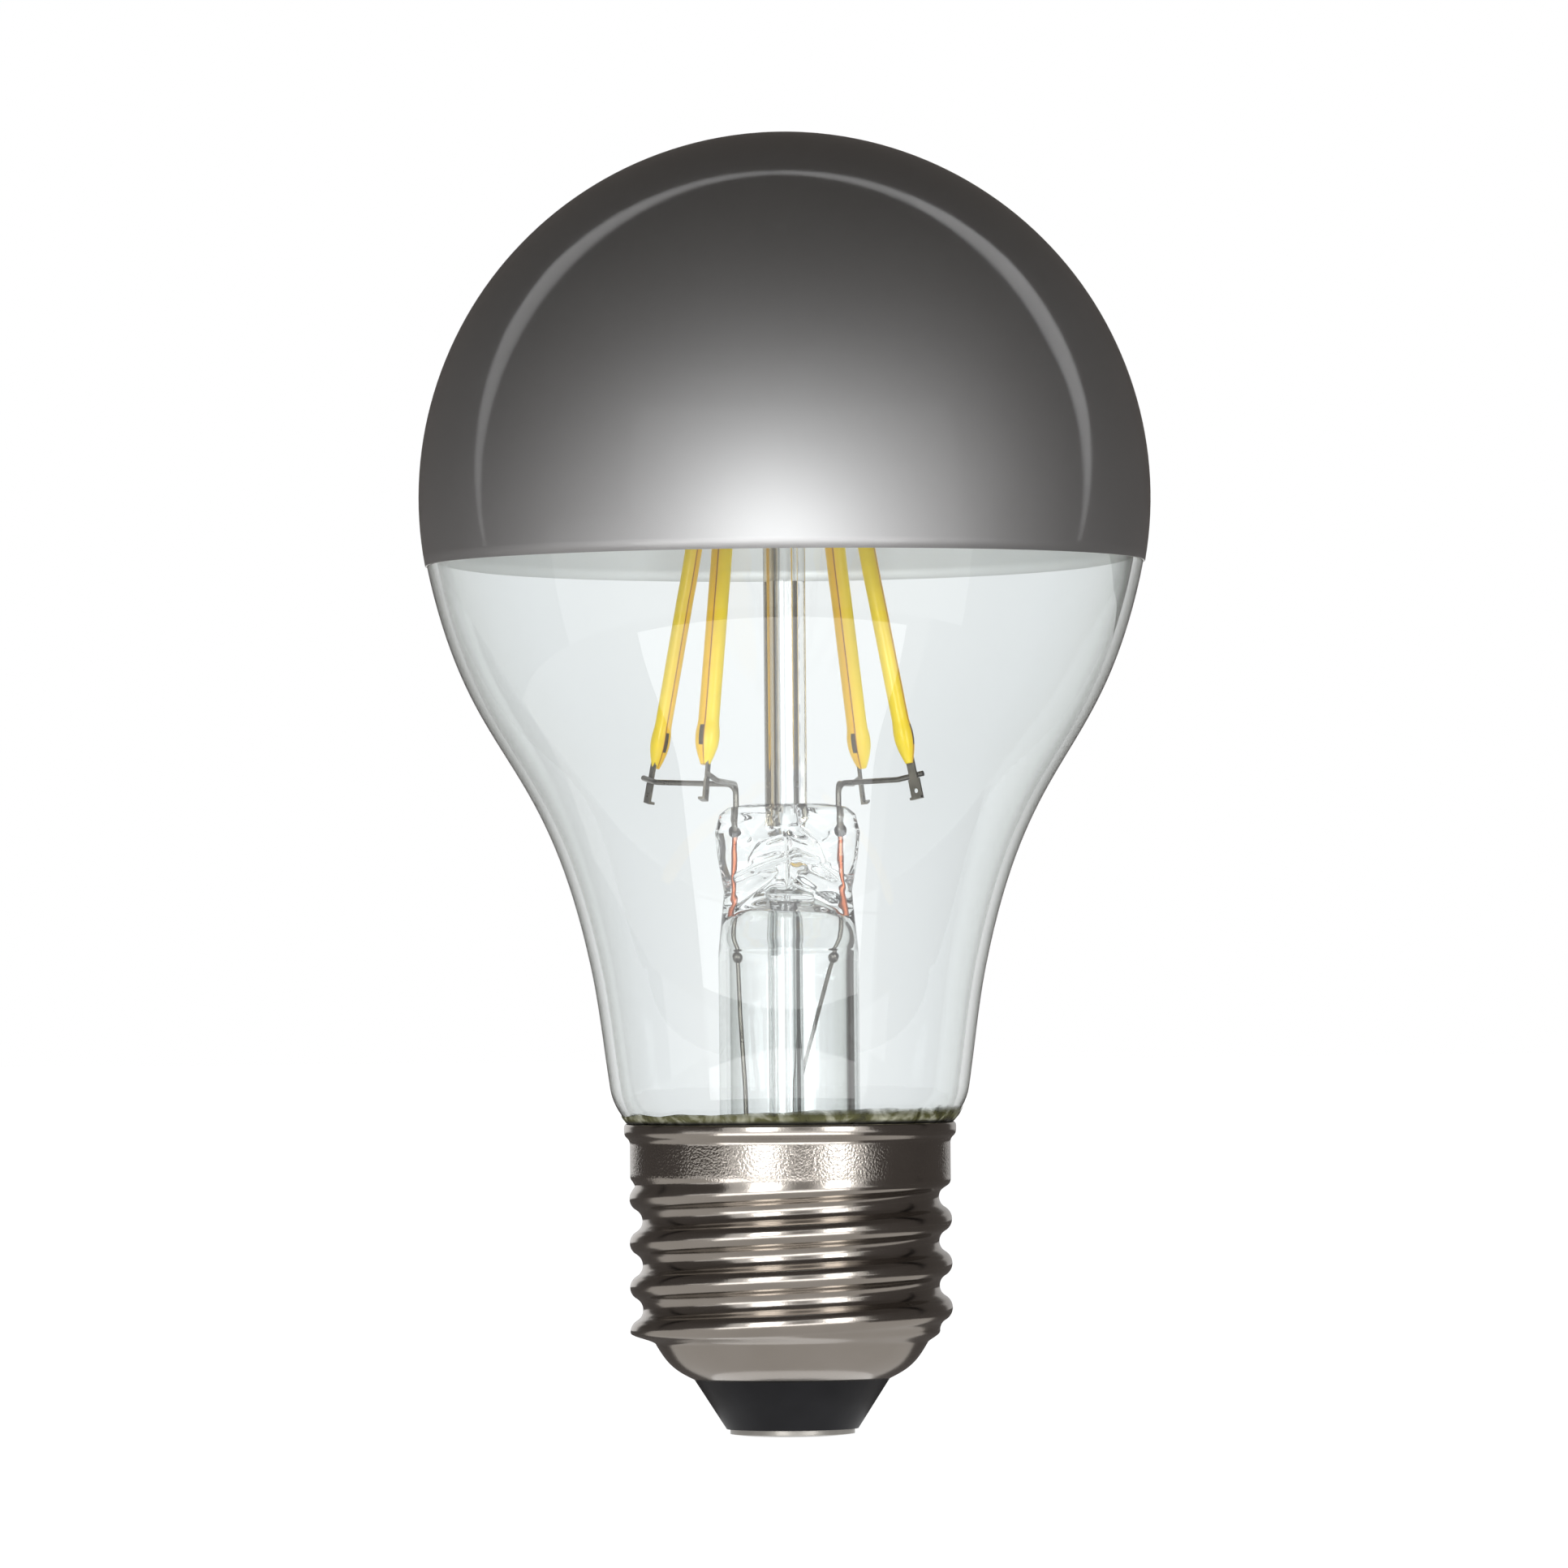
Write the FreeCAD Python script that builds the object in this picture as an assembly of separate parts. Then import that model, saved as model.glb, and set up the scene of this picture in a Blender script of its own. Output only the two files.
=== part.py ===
import FreeCAD, Part
import math
import os

# Half-mirrored filament lamp: pear-shaped glass on a screw cap, all sizes in millimetres.
# The contact button's underside is at the origin, and +Z runs up the axis to the crown.

Vector = FreeCAD.Vector
UP = Vector(0, 0, 1)
AXIS_START = Vector(0, 0, 0)

# Screw cap
sheet = 0.35                    # thickness of the rolled metal
skirt_r = 13.13
crest_step = 0.07               # how far the crests stand out past the skirt
rim_step = 0.47                 # and the flared lip
thread_pitch = 3.629
thread_depth = 1.05
thread_crest_z = 14.03          # height of a crest on the +X side
thread_fade = 1.4               # height over which the thread runs out into the skirt
thread_foot_fade = 1.0
rim_top_z = 25.6
rim_height = 1.7
rim_flare = 1.1                 # height over which the skirt widens into the rim
rim_pull = 0.65                 # curve handles of that flare
thread_top_z = 21.3
thread_foot_z = 7.5
bowl_r = 11.1                   # where the bowl starts under the thread
bowl_bulge = 0.4                # how far the bowl swells beyond a straight cone
bowl_width = 3.1                # from there in to the hole
cap_hole_z = 4.65
thread_columns = 20             # points round the wave
thread_overlap = 4              # further points past one turn, so that the seam is smooth
thread_rows_per_turn = 6
section_points = 16             # points round a flattened tube
round_tolerance = 0.001         # how nearly the wave's ends are round
fix_tolerance = 0.00001

# Insulator and contact
insulator_taper = 2.6           # narrower at its face than at the cap's hole
insulator_face_z = 0.6
insulator_seat = 0.7            # inner flange above the cap's bottom edge
insulator_reach = 0.95          # of the inner flange past the hole
insulator_slope = 0.4
insulator_hub_r = 3.0
insulator_hub_top_z = 6.4
contact_margin = 0.3            # of the insulator's face round the button
contact_flat_r = 2.5
contact_edge_z = 0.2            # the button is slightly domed outside the flat
rivet_r = 1.1
rivet_head_r = 1.9
rivet_head = 0.4

# Glass
globe_r = 29.85
globe_z = 76.8
glass_wall = 1.0
shoulder_angle = 12.9           # below the widest line, where the globe ends
shoulder_pull = 15.75           # curve handles of the shoulder
neck_pull = 18.4
neck_step = 1.48                # wider at the neck's top than at its foot
neck_z = 38.37
neck_slope = 11.7
foot_step = 1.65                # wider at the neck's foot than where it leaves the rim
foot_z = 28.5
foot_slope = 8.6
foot_pull = 1.3
curl_slope = 42.0               # of the neck where it turns in over the cap's rim
throat_pull = 0.95
neck_clearance = 0.3            # between the neck's end and the inside of the thread
throat_z = 23.4
lip_clearance = 0.2             # between the glass and the inside of the cap's rim
throat_lip_z = 25.5
neck_end_z = 19.5
mirror_edge_z = 71.4
mirror_coat = 0.1
mirror_gap = 0.05               # keeps the two round faces apart
cement_foot_z = 21.6
cement_top_z = 26.0
cement_film = 0.25              # thickness where it creeps up the glass
cement_tilt = 1.2               # degrees, higher on the +X side

# Stem
stem_r = 5.75
stem_wall = 0.9
stem_shoulder_z = 39.6
press_waist_z = 44.6
press_top_z = 51.75
press_half_width = 5.95
press_waist_half_width = 5.25
press_half_thickness = 1.95
press_corner = 1.9
stem_hollow_top_z = 42.6
# Height share up to the waist, share from round to flat, squareness
pinch_steps = [(0.0, 0.0, 2.0), (0.24, 0.21, 2.0), (0.6, 0.68, 2.2), (1.0, 1.0, 2.6)]
# Height share from waist to top, narrower by, thickness share, squareness
press_steps = [(0.4, 0.15, 1.0, 2.8), (0.68, 0.0, 1.0, 2.8), (0.9, 0.45, 0.86, 2.6),
               (1.0, press_corner, 0.5, 2.2)]
# Height share, width share and thickness share of the hollow under the press
hollow_steps = [(0.0, 1.0, 1.0), (0.45, 0.96, 0.8), (1.0, 0.8, 0.38)]
flare_start_z = 24.0
flare_lip = 1.0                 # height of the flare's fused lip
flare_bend = 0.55               # curve handles of the flare, as a share of its height
tube_dome = 0.6                 # rounding of a closed tube end, as a share of its radius
exhaust_r = 1.42
exhaust_bore_r = 0.95
exhaust_tip_z = 16.6
exhaust_top_z = 44.2
exhaust_offset = -0.25
rod_r = 1.73
rod_bore_r = 0.8
rod_foot_z = 49.9
rod_above_heads = 5.4           # top of the rod above the filaments' heads
rod_bead_r = 2.3
rod_offset = -0.1

# Filaments
filament_length = 31.0
filament_foot_ring_r = 12.15
filament_foot_z = 54.9
filament_lean = 6.35 / 31       # how far it leans in, as a share of its length
filament_upright = 30.3 / 31    # and how far it rises
filament_r = 0.86
filament_bulge_r = 0.98
filament_tip_r = 0.42
filament_bulge_at = 2.4         # along the filament, from each tip
filament_body_at = 3.6
strip_width = 0.8
strip_thickness = 0.3
strip_inset = 0.6
tab_thickness = 0.2
tab_inside = 1.9                # length of the clip held in the phosphor
tab_neck_width = 0.7
tab_neck_length = 1.3
tab_pad_width = 1.0
tab_pad_length = 1.7
tab_hole_r = 0.2
tab_hole_at = 0.7               # above the pad's end
tab_lip = 0.35
# Foot azimuth, head azimuth and the azimuth of the tab's face line, in degrees
filaments = {
    "rear_left": (153.3, 154.4, 118.0),
    "front_left": (237.2, 226.0, 252.0),
    "rear_right": (58.9, 62.0, 76.0),
    "front_right": (-35.4, -43.0, -28.0),
}

# Wires
lead_r = 0.23
lead_bend_r = 0.9
bend_room = 0.45                # most of a straight run that one bend may take
least_bend = 0.02               # radians, less than this is straight
lead_cross_at = 1.0             # distance of the weld below the phosphor
lead_stub = 0.75
lead_run = 1.6
lead_rise = 1.7                 # height of the bend above the glass
knot_r = 0.46
dumet_r = 0.2
feed_x = 4.2                    # the two feed lines through the press
feed_spread = 0.34
upper_knot_z = 49.5
dumet_foot_z = 42.4
lower_knot_z = 39.2
outer_lead_r = 0.18
outer_lead_bend_r = 3.0
left_lead_bends = [(-4.0, -0.2, 34.5), (-3.6, -0.6, 28.5), (-3.4, -0.6, 22.0)]
right_lead_bends = [(2.2, 2.0, 33.7), (0.9, 2.9, 29.0), (0.6, 3.0, 22.0)]
right_knot_shift = (-0.5, 0.3)
bridge_r = 0.25
bridge_bend_r = 0.6
bridge_entry = 0.4              # straight run in front of the bead
bridge_y = 0.7                  # of the two wires through the bead, to either side
bridge_z = 0.5

# Driver in the cap
board_z = 13.2
board_thickness = 1.0
board_clearance = 0.3
bridge_size = (4.7, 3.9, 2.4)
bridge_at = (5.2, -2.6)
chip_size = (4.9, 3.9, 1.5)
chip_at = (-5.4, 3.4)
capacitor_r = 3.15
capacitor_height = 6.0
capacitor_round = 0.8
capacitor_at = (5.3, 0.6)
fuse_r = 1.1
fuse_height = 5.0
fuse_at = (-6.2, -1.2)
hook_wire_r = 0.3
contact_lead_at = (-2.4, 1.2)
contact_lead_bends = (2.2, 3.6)
shell_lead_y = 8.6
shell_lead_bends = (1.4, 2.2, 3.8)


def ring_point(radius, azimuth, z):
    angle = math.radians(azimuth)
    return Vector(radius * math.cos(angle), radius * math.sin(angle), z)


def turned(edges):
    """Solid of revolution from a closed outline in the XZ plane."""
    face = Part.Face(Part.Wire(Part.__sortEdges__(edges)))
    return face.revolve(AXIS_START, UP, 360)


def at(radius, z):
    return Vector(radius, 0, z)


def lines(points):
    return [Part.LineSegment(a, b).toShape() for a, b in zip(points, points[1:])]


def arc(start, middle, end):
    return Part.Arc(start, middle, end).toShape()


def bezier(points):
    curve = Part.BezierCurve()
    curve.setPoles(points)
    return curve.toShape()


def rounded_path(points, bend_r):
    """Straight runs joined by tangent arcs."""
    edges = []
    start = points[0]
    for before, corner, after in zip(points, points[1:], points[2:]):
        back = (before - corner).normalize()
        on = (after - corner).normalize()
        half_angle = back.getAngle(on) / 2
        if math.pi - 2 * half_angle < least_bend:
            continue
        room = bend_room * min((before - corner).Length, (after - corner).Length)
        reach = min(bend_r / math.tan(half_angle), room)
        radius = reach * math.tan(half_angle)
        centre = corner + (back + on).normalize() * (radius / math.sin(half_angle))
        entry = corner + back * reach
        leave = corner + on * reach
        middle = centre + (corner - centre).normalize() * radius
        edges.append(Part.LineSegment(start, entry).toShape())
        edges.append(Part.Arc(entry, middle, leave).toShape())
        start = leave
    edges.append(Part.LineSegment(start, points[-1]).toShape())
    return Part.Wire(edges)


def wire_along(points, radius, bend_r=lead_bend_r):
    path = rounded_path(points, bend_r)
    first_run = (points[1] - points[0]).normalize()
    section = Part.Wire([Part.Circle(points[0], first_run, radius).toShape()])
    return path.makePipeShell([section], True, False)


# Metal cap

thread_crest_r = skirt_r + crest_step
thread_root_r = thread_crest_r - thread_depth
rim_r = skirt_r + rim_step
cap_hole_r = bowl_r - bowl_width
insulator_face_r = cap_hole_r - insulator_taper
contact_r = insulator_face_r - contact_margin


def ease(low, high, value):
    share = min(max((value - low) / (high - low), 0), 1)
    return share * share * (3 - 2 * share)


def thread_radius(azimuth, z, inset):
    """Rolled round thread, faded out at both ends."""
    turns_off_crest = (z - thread_crest_z) / thread_pitch - azimuth / (2 * math.pi)
    wave = thread_crest_r - thread_depth * (1 - math.cos(2 * math.pi * turns_off_crest)) / 2 - inset
    skirt_share = ease(thread_top_z - thread_fade, thread_top_z, z)
    wave = wave + skirt_share * (skirt_r - inset - wave)
    bowl_share = 1 - ease(thread_foot_z, thread_foot_z + thread_foot_fade, z)
    return wave + bowl_share * (bowl_r - inset - wave)


def thread_wall(inset):
    height = thread_top_z - thread_foot_z
    rows = round(height / thread_pitch * thread_rows_per_turn)
    grid = []
    for column in range(-thread_overlap, thread_columns + thread_overlap + 1):
        azimuth = 2 * math.pi * column / thread_columns
        levels = [thread_foot_z + height * row / rows for row in range(rows + 1)]
        radii = [thread_radius(azimuth, z, inset) for z in levels]
        grid.append([Vector(r * math.cos(azimuth), r * math.sin(azimuth), z)
                     for r, z in zip(radii, levels)])
    surface = Part.BSplineSurface()
    surface.interpolate(grid)
    turn = surface.getUKnots()[thread_overlap:-thread_overlap]
    surface.segment(turn[0], turn[-1], *surface.bounds()[2:])
    return surface.toShape()


def skirt_outline(inset):
    """From the thread's top up to the rim, without the rim's top edge."""
    radius = skirt_r - inset
    lip = rim_r - inset
    low_z = rim_top_z - rim_height
    high_z = low_z + rim_flare
    return [
        *lines([at(radius, thread_top_z), at(radius, low_z)]),
        bezier([at(radius, low_z), at(radius, low_z + rim_pull),
                at(lip, high_z - rim_pull), at(lip, high_z)]),
        *lines([at(lip, high_z), at(lip, rim_top_z)]),
    ]


def bowl_outline(inset):
    """From the hole's edge up to the thread's foot."""
    top = at(bowl_r - inset, thread_foot_z)
    foot = at(cap_hole_r, cap_hole_z + inset)
    middle = (top + foot) * 0.5
    across = (foot - top).normalize()
    outward = Vector(-across.z, 0, across.x)
    return [arc(foot, middle + outward * bowl_bulge, top)]


def level_edges(face):
    """The two round ends of a wall, lower one first."""
    level = [edge for edge in face.Edges if edge.BoundBox.ZLength < round_tolerance]
    return sorted(level, key=lambda edge: edge.BoundBox.ZMin)


def make_thread_ring():
    walls = [thread_wall(0), thread_wall(sheet)]
    ends = [Part.Face([Part.Wire([outer]), Part.Wire([inner])])
            for outer, inner in zip(*map(level_edges, walls))]
    ring = Part.Solid(Part.Shell(walls + ends))
    ring.fix(fix_tolerance, fix_tolerance, fix_tolerance)
    return ring


def make_cap_shell():
    """Rolled thread between a flared skirt and a drawn bowl, all one sheet."""
    rim_edge = lines([at(rim_r, rim_top_z), at(rim_r - sheet, rim_top_z)])
    skirt_foot = lines([at(skirt_r, thread_top_z), at(skirt_r - sheet, thread_top_z)])
    bowl_top = lines([at(bowl_r, thread_foot_z), at(bowl_r - sheet, thread_foot_z)])
    hole_edge = lines([at(cap_hole_r, cap_hole_z), at(cap_hole_r, cap_hole_z + sheet)])
    skirt = turned(skirt_outline(0) + rim_edge + skirt_outline(sheet) + skirt_foot)
    bowl = turned(bowl_outline(0) + bowl_top + bowl_outline(sheet) + hole_edge)
    return make_thread_ring().fuse([skirt, bowl], round_tolerance)


def make_cap_insulator():
    flange_z = cap_hole_z + sheet
    flange_r = cap_hole_r + insulator_reach
    outline = lines([
        at(rivet_r, insulator_face_z), at(insulator_face_r, insulator_face_z),
        at(cap_hole_r, cap_hole_z), at(cap_hole_r, flange_z), at(flange_r, flange_z + insulator_slope),
        at(flange_r, flange_z + insulator_seat), at(insulator_hub_r, flange_z + insulator_seat),
        at(insulator_hub_r, insulator_hub_top_z), at(rivet_r, insulator_hub_top_z),
        at(rivet_r, insulator_face_z),
    ])
    return turned(outline)


def make_centre_contact():
    """Domed button with a hollow rivet headed over inside the insulator."""
    head_top_z = insulator_hub_top_z + rivet_head
    outline = [
        *lines([at(0, 0), at(contact_flat_r, 0)]),
        arc(at(contact_flat_r, 0), at((contact_flat_r + contact_r) / 2, contact_edge_z / 4),
            at(contact_r, contact_edge_z)),
        *lines([at(contact_r, contact_edge_z), at(contact_r, insulator_face_z),
                at(rivet_r, insulator_face_z), at(rivet_r, insulator_hub_top_z),
                at(rivet_head_r, insulator_hub_top_z), at(rivet_head_r, head_top_z),
                at(0, head_top_z), at(0, 0)]),
    ]
    return turned(outline)


# Glass bulb, mirror coat and cement

throat_r = thread_root_r - sheet - neck_clearance
throat_lip_r = rim_r - sheet - lip_clearance
foot_r = throat_lip_r + foot_step
neck_r = foot_r + neck_step


def glass_outline(inset):
    """Neck end to crown, moved inwards by inset."""
    radius = globe_r - inset
    angle = math.radians(shoulder_angle)
    shoulder = at(radius * math.cos(angle), globe_z - radius * math.sin(angle))
    shoulder_out = Vector(-math.sin(angle), 0, -math.cos(angle))
    neck = at(neck_r - inset, neck_z)
    neck_up = Vector(math.sin(math.radians(neck_slope)), 0, math.cos(math.radians(neck_slope)))
    foot = at(foot_r - inset, foot_z)
    foot_up = Vector(math.sin(math.radians(foot_slope)), 0, math.cos(math.radians(foot_slope)))
    curl = Vector(math.cos(math.radians(curl_slope)), 0, math.sin(math.radians(curl_slope)))
    taper = (neck_z - foot_z) / 3
    lip = at(throat_lip_r - inset, throat_lip_z)
    throat = at(throat_r - inset, throat_z)
    halfway = math.radians((90 - shoulder_angle) / 2)
    side = at(radius * math.cos(halfway), globe_z + radius * math.sin(halfway))
    return [
        *lines([at(throat_r - inset, neck_end_z), throat]),
        bezier([throat, throat + UP * throat_pull, lip - curl * throat_pull, lip]),
        bezier([lip, lip + curl * throat_pull, foot - foot_up * foot_pull, foot]),
        bezier([foot, foot + foot_up * taper, neck - neck_up * taper, neck]),
        bezier([neck, neck + neck_up * neck_pull, shoulder + shoulder_out * shoulder_pull, shoulder]),
        arc(shoulder, side, at(0, globe_z + radius)),
    ]


def glass_body(inset):
    outline = glass_outline(inset)
    crown = at(0, globe_z + globe_r - inset)
    closing = lines([crown, at(0, neck_end_z), at(throat_r - inset, neck_end_z)])
    return turned(outline + closing)


def make_glass_bulb():
    return glass_body(0).cut(glass_body(glass_wall))


def make_crown_mirror():
    inner_r = globe_r + mirror_gap
    outer = Part.makeSphere(inner_r + mirror_coat, Vector(0, 0, globe_z))
    inner = Part.makeSphere(inner_r, Vector(0, 0, globe_z))
    below = Part.makeCylinder(2 * globe_r, mirror_edge_z)
    return outer.cut(inner).cut(below)


def make_cap_cement():
    """Fills the skirt round the neck, and creeps up the glass to a slanted edge."""
    reach = 4 * globe_r
    skirt_fill = turned(skirt_outline(sheet) + lines([
        at(rim_r - sheet, rim_top_z), at(0, rim_top_z), at(0, thread_top_z),
        at(skirt_r - sheet, thread_top_z)]))
    film = glass_body(-cement_film).cut(Part.makeCylinder(reach, rim_top_z))
    above = Part.makeBox(2 * reach, 2 * reach, 2 * reach, Vector(-reach, -reach, 0))
    above.rotate(AXIS_START, Vector(0, 1, 0), -cement_tilt)
    above.translate(UP * cement_top_z)
    below = Part.makeCylinder(reach, cement_foot_z)
    return skirt_fill.fuse(film).cut(above).cut(below).cut(glass_body(0))


# Stem, exhaust tube and centre rod

filament_head_ring_r = filament_foot_ring_r - filament_lean * filament_length
filament_head_z = filament_foot_z + filament_upright * filament_length
rod_top_z = filament_head_z + rod_above_heads


def flat_section(half_width, half_thickness, z, squareness):
    """Closed curve between a circle (squareness 2) and a rounded bar."""
    points = []
    for step in range(section_points):
        angle = 2 * math.pi * step / section_points
        cosine = math.cos(angle)
        sine = math.sin(angle)
        x = half_width * math.copysign(abs(cosine) ** (2 / squareness), cosine)
        y = half_thickness * math.copysign(abs(sine) ** (2 / squareness), sine)
        points.append(Vector(x, y, z))
    curve = Part.BSplineCurve()
    curve.interpolate(Points=points, PeriodicFlag=True)
    return Part.Wire([curve.toShape()])


def make_stem_glass():
    """Flared tube whose top is pinched flat round the feed wires."""
    flare_r = throat_r
    flare_z = neck_end_z - flare_lip
    inner_r = stem_r - stem_wall
    bend = flare_bend * (flare_start_z - neck_end_z)
    outline = [
        *lines([at(inner_r, stem_shoulder_z), at(inner_r, flare_start_z)]),
        bezier([at(inner_r, flare_start_z), at(inner_r, flare_start_z - bend),
                at(inner_r + bend, flare_z), at(flare_r - glass_wall, flare_z)]),
        *lines([at(flare_r - glass_wall, flare_z), at(flare_r, flare_z), at(flare_r, neck_end_z),
                at(flare_r - glass_wall, neck_end_z)]),
        bezier([at(flare_r - glass_wall, neck_end_z), at(stem_r + bend, neck_end_z),
                at(stem_r, flare_start_z + flare_lip - bend), at(stem_r, flare_start_z + flare_lip)]),
        *lines([at(stem_r, flare_start_z + flare_lip), at(stem_r, stem_shoulder_z),
                at(inner_r, stem_shoulder_z)]),
    ]
    tube = turned(outline)
    sections = []
    for height, flatness, squareness in pinch_steps:
        sections.append(flat_section(
            stem_r + height * (press_waist_half_width - stem_r),
            stem_r + flatness * (press_half_thickness - stem_r),
            stem_shoulder_z + height * (press_waist_z - stem_shoulder_z), squareness))
    for height, narrower, thickness, squareness in press_steps:
        sections.append(flat_section(
            press_half_width - narrower, thickness * press_half_thickness,
            press_waist_z + height * (press_top_z - press_waist_z), squareness))
    pinch = Part.makeLoft(sections, True, False)
    hollow = Part.makeLoft([
        flat_section(width * inner_r, thickness * inner_r,
                     stem_shoulder_z + height * (stem_hollow_top_z - stem_shoulder_z), 2)
        for height, width, thickness in hollow_steps
    ], True, False)
    return tube.fuse([pinch.cut(hollow)], round_tolerance)


def tube_with_closed_end(radius, bore_r, low_z, high_z, closed_end):
    """Round tube whose closed end, at low_z or high_z, is drawn to a dome."""
    tube = Part.makeCylinder(radius, high_z - low_z, at(0, low_z))
    bore = Part.makeCylinder(bore_r, high_z - low_z, at(0, low_z))
    if closed_end == "low":
        bore.translate(UP * 2 * (radius - bore_r))
        ends = [edge for edge in tube.Edges if abs(edge.BoundBox.ZMax - low_z) < round_tolerance]
    else:
        bore.translate(UP * -2 * (radius - bore_r))
        ends = [edge for edge in tube.Edges if abs(edge.BoundBox.ZMin - high_z) < round_tolerance]
    return tube.makeFillet(tube_dome * radius, ends).cut(bore)


def make_exhaust_tube():
    tube = tube_with_closed_end(exhaust_r, exhaust_bore_r, exhaust_tip_z, exhaust_top_z, "low")
    tube.translate(Vector(exhaust_offset, 0, 0))
    return tube


def make_centre_rod():
    rod = tube_with_closed_end(rod_r, rod_bore_r, rod_foot_z, rod_top_z, "high")
    bead = Part.makeSphere(rod_bead_r, at(0, rod_top_z - rod_bead_r))
    bore = Part.makeCylinder(rod_bore_r, rod_top_z - rod_foot_z - 2 * rod_bead_r, at(0, rod_foot_z))
    rod = rod.fuse(bead).cut(bore)
    rod.translate(Vector(rod_offset, 0, 0))
    return rod


# Filaments: made upright at the origin, then placed

def filament_frame(azimuths):
    """Foot of a filament, and its unit directions: along, across and facing."""
    foot_azimuth, head_azimuth, face_azimuth = azimuths
    foot = ring_point(filament_foot_ring_r, foot_azimuth, filament_foot_z)
    head = ring_point(filament_head_ring_r, head_azimuth, filament_head_z)
    along = (head - foot).normalize()
    wished = ring_point(1, face_azimuth, 0)
    across = (wished - along * wished.dot(along)).normalize()
    return foot, along, across, along.cross(across)


def filament_matrix(azimuths):
    foot, along, across, facing = filament_frame(azimuths)
    return FreeCAD.Matrix(
        across.x, facing.x, along.x, foot.x,
        across.y, facing.y, along.y, foot.y,
        across.z, facing.z, along.z, foot.z,
        0, 0, 0, 1)


def make_strip():
    length = filament_length - 2 * strip_inset
    return Part.makeBox(strip_width, strip_thickness, length,
                        Vector(-strip_width / 2, -strip_thickness / 2, strip_inset))


def make_lower_tab():
    """Stamped clip: inner tongue, neck, and a holed pad with a bent lip."""
    back = strip_thickness / 2
    tongue = Part.makeBox(tab_neck_width, tab_thickness, tab_inside + tab_neck_length,
                          Vector(-tab_neck_width / 2, back, -tab_neck_length))
    pad_z = -tab_neck_length - tab_pad_length
    pad = Part.makeBox(tab_pad_width, tab_thickness, tab_pad_length,
                       Vector(-tab_pad_width / 2, back, pad_z))
    lip = Part.makeBox(tab_pad_width, tab_lip, tab_thickness,
                       Vector(-tab_pad_width / 2, back - tab_lip, pad_z))
    hole = Part.makeCylinder(tab_hole_r, 4 * tab_thickness,
                             Vector(0, back - tab_thickness, pad_z + tab_hole_at),
                             Vector(0, 1, 0))
    return tongue.fuse([pad, lip]).removeSplitter().cut(hole)


def make_upper_tab():
    tab = make_lower_tab()
    middle = Vector(0, 0, filament_length / 2)
    tab.rotate(middle, Vector(0, 1, 0), 180)
    return tab


def make_phosphor(held):
    """Silicone coat with a swollen stretch before each drawn tip."""
    end = [
        at(filament_tip_r, 0),
        at(filament_tip_r, filament_bulge_at / 3),
        at(filament_bulge_r, filament_bulge_at / 3),
        at(filament_bulge_r, filament_bulge_at),
        at(filament_r, filament_body_at),
    ]
    far = [at(point.x, filament_length - point.z) for point in end]
    outline = [
        bezier(end[:4]), *lines([end[3], end[4], far[4], far[3]]), bezier(far[3::-1]),
        *lines([far[0], at(0, filament_length), at(0, 0), end[0]]),
    ]
    return turned(outline).cut(held)


def make_filament(azimuths):
    pieces = {"strip": make_strip(), "lower_tab": make_lower_tab(), "upper_tab": make_upper_tab()}
    pieces["phosphor"] = make_phosphor(list(pieces.values()))
    for piece in pieces.values():
        piece.transformShape(filament_matrix(azimuths))
    return pieces


# Wires

def weld_run(azimuths, at_head, wire_r):
    """Last stretch of a wire across the back of a tab: outer end, then inner end."""
    foot, along, across, facing = filament_frame(azimuths)
    level = filament_length + lead_cross_at if at_head else -lead_cross_at
    cross = foot + along * level + facing * (strip_thickness / 2 + tab_thickness + wire_r)
    outward = across if across.dot(Vector(cross.x, cross.y, 0)) > 0 else across * -1
    return cross + outward * lead_stub, cross - outward * lead_run


def feed_point(side, spread, z):
    return Vector(side * feed_x, spread, z)


def make_inner_lead(name):
    side = -1 if name.endswith("left") else 1
    spread = feed_spread if name.startswith("rear") else -feed_spread
    stub, run = weld_run(filaments[name], False, lead_r)
    bend = feed_point(side, spread, press_top_z + lead_rise)
    points = [feed_point(side, spread, upper_knot_z), bend, run, stub]
    return wire_along(points, lead_r)


def make_knot(side, z):
    return Part.makeSphere(knot_r, Vector(side * feed_x, 0, z))


def make_dumet(side):
    wire = Part.makeCylinder(dumet_r, upper_knot_z - dumet_foot_z, Vector(side * feed_x, 0, dumet_foot_z))
    return wire.fuse(make_knot(side, upper_knot_z))


board_top_z = board_z + board_thickness


def make_outer_lead(side):
    """From the press down to the board, with a weld knot under the press."""
    if side == "left":
        knot_at = Vector(-feed_x, 0, lower_knot_z)
        bends = left_lead_bends
    else:
        knot_at = Vector(feed_x + right_knot_shift[0], right_knot_shift[1], lower_knot_z)
        bends = right_lead_bends
    top = Vector(math.copysign(feed_x, knot_at.x), 0, dumet_foot_z)
    foot = Vector(*bends[-1][:2], board_top_z)
    route = [top, knot_at, *(Vector(*bend) for bend in bends), foot]
    return wire_along(route, outer_lead_r, outer_lead_bend_r).fuse(Part.makeSphere(knot_r, knot_at))


def make_top_wire(place):
    """Wire from one filament's head through the glass bead to the other's."""
    side = -1 if place == "front" else 1
    left_stub, left_run = weld_run(filaments[f"{place}_left"], True, bridge_r)
    right_stub, right_run = weld_run(filaments[f"{place}_right"], True, bridge_r)
    in_bead = Vector(rod_offset, side * bridge_y, rod_top_z - rod_bead_r + side * bridge_z)
    entry = Vector(rod_bead_r + bridge_entry, 0, 0)
    points = [left_stub, left_run, in_bead - entry, in_bead + entry, right_run, right_stub]
    return wire_along(points, bridge_r, bridge_bend_r)


# Driver board and what stands on it

def box_on(size, place, z):
    return Part.makeBox(*size, Vector(place[0] - size[0] / 2, place[1] - size[1] / 2, z))


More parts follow.
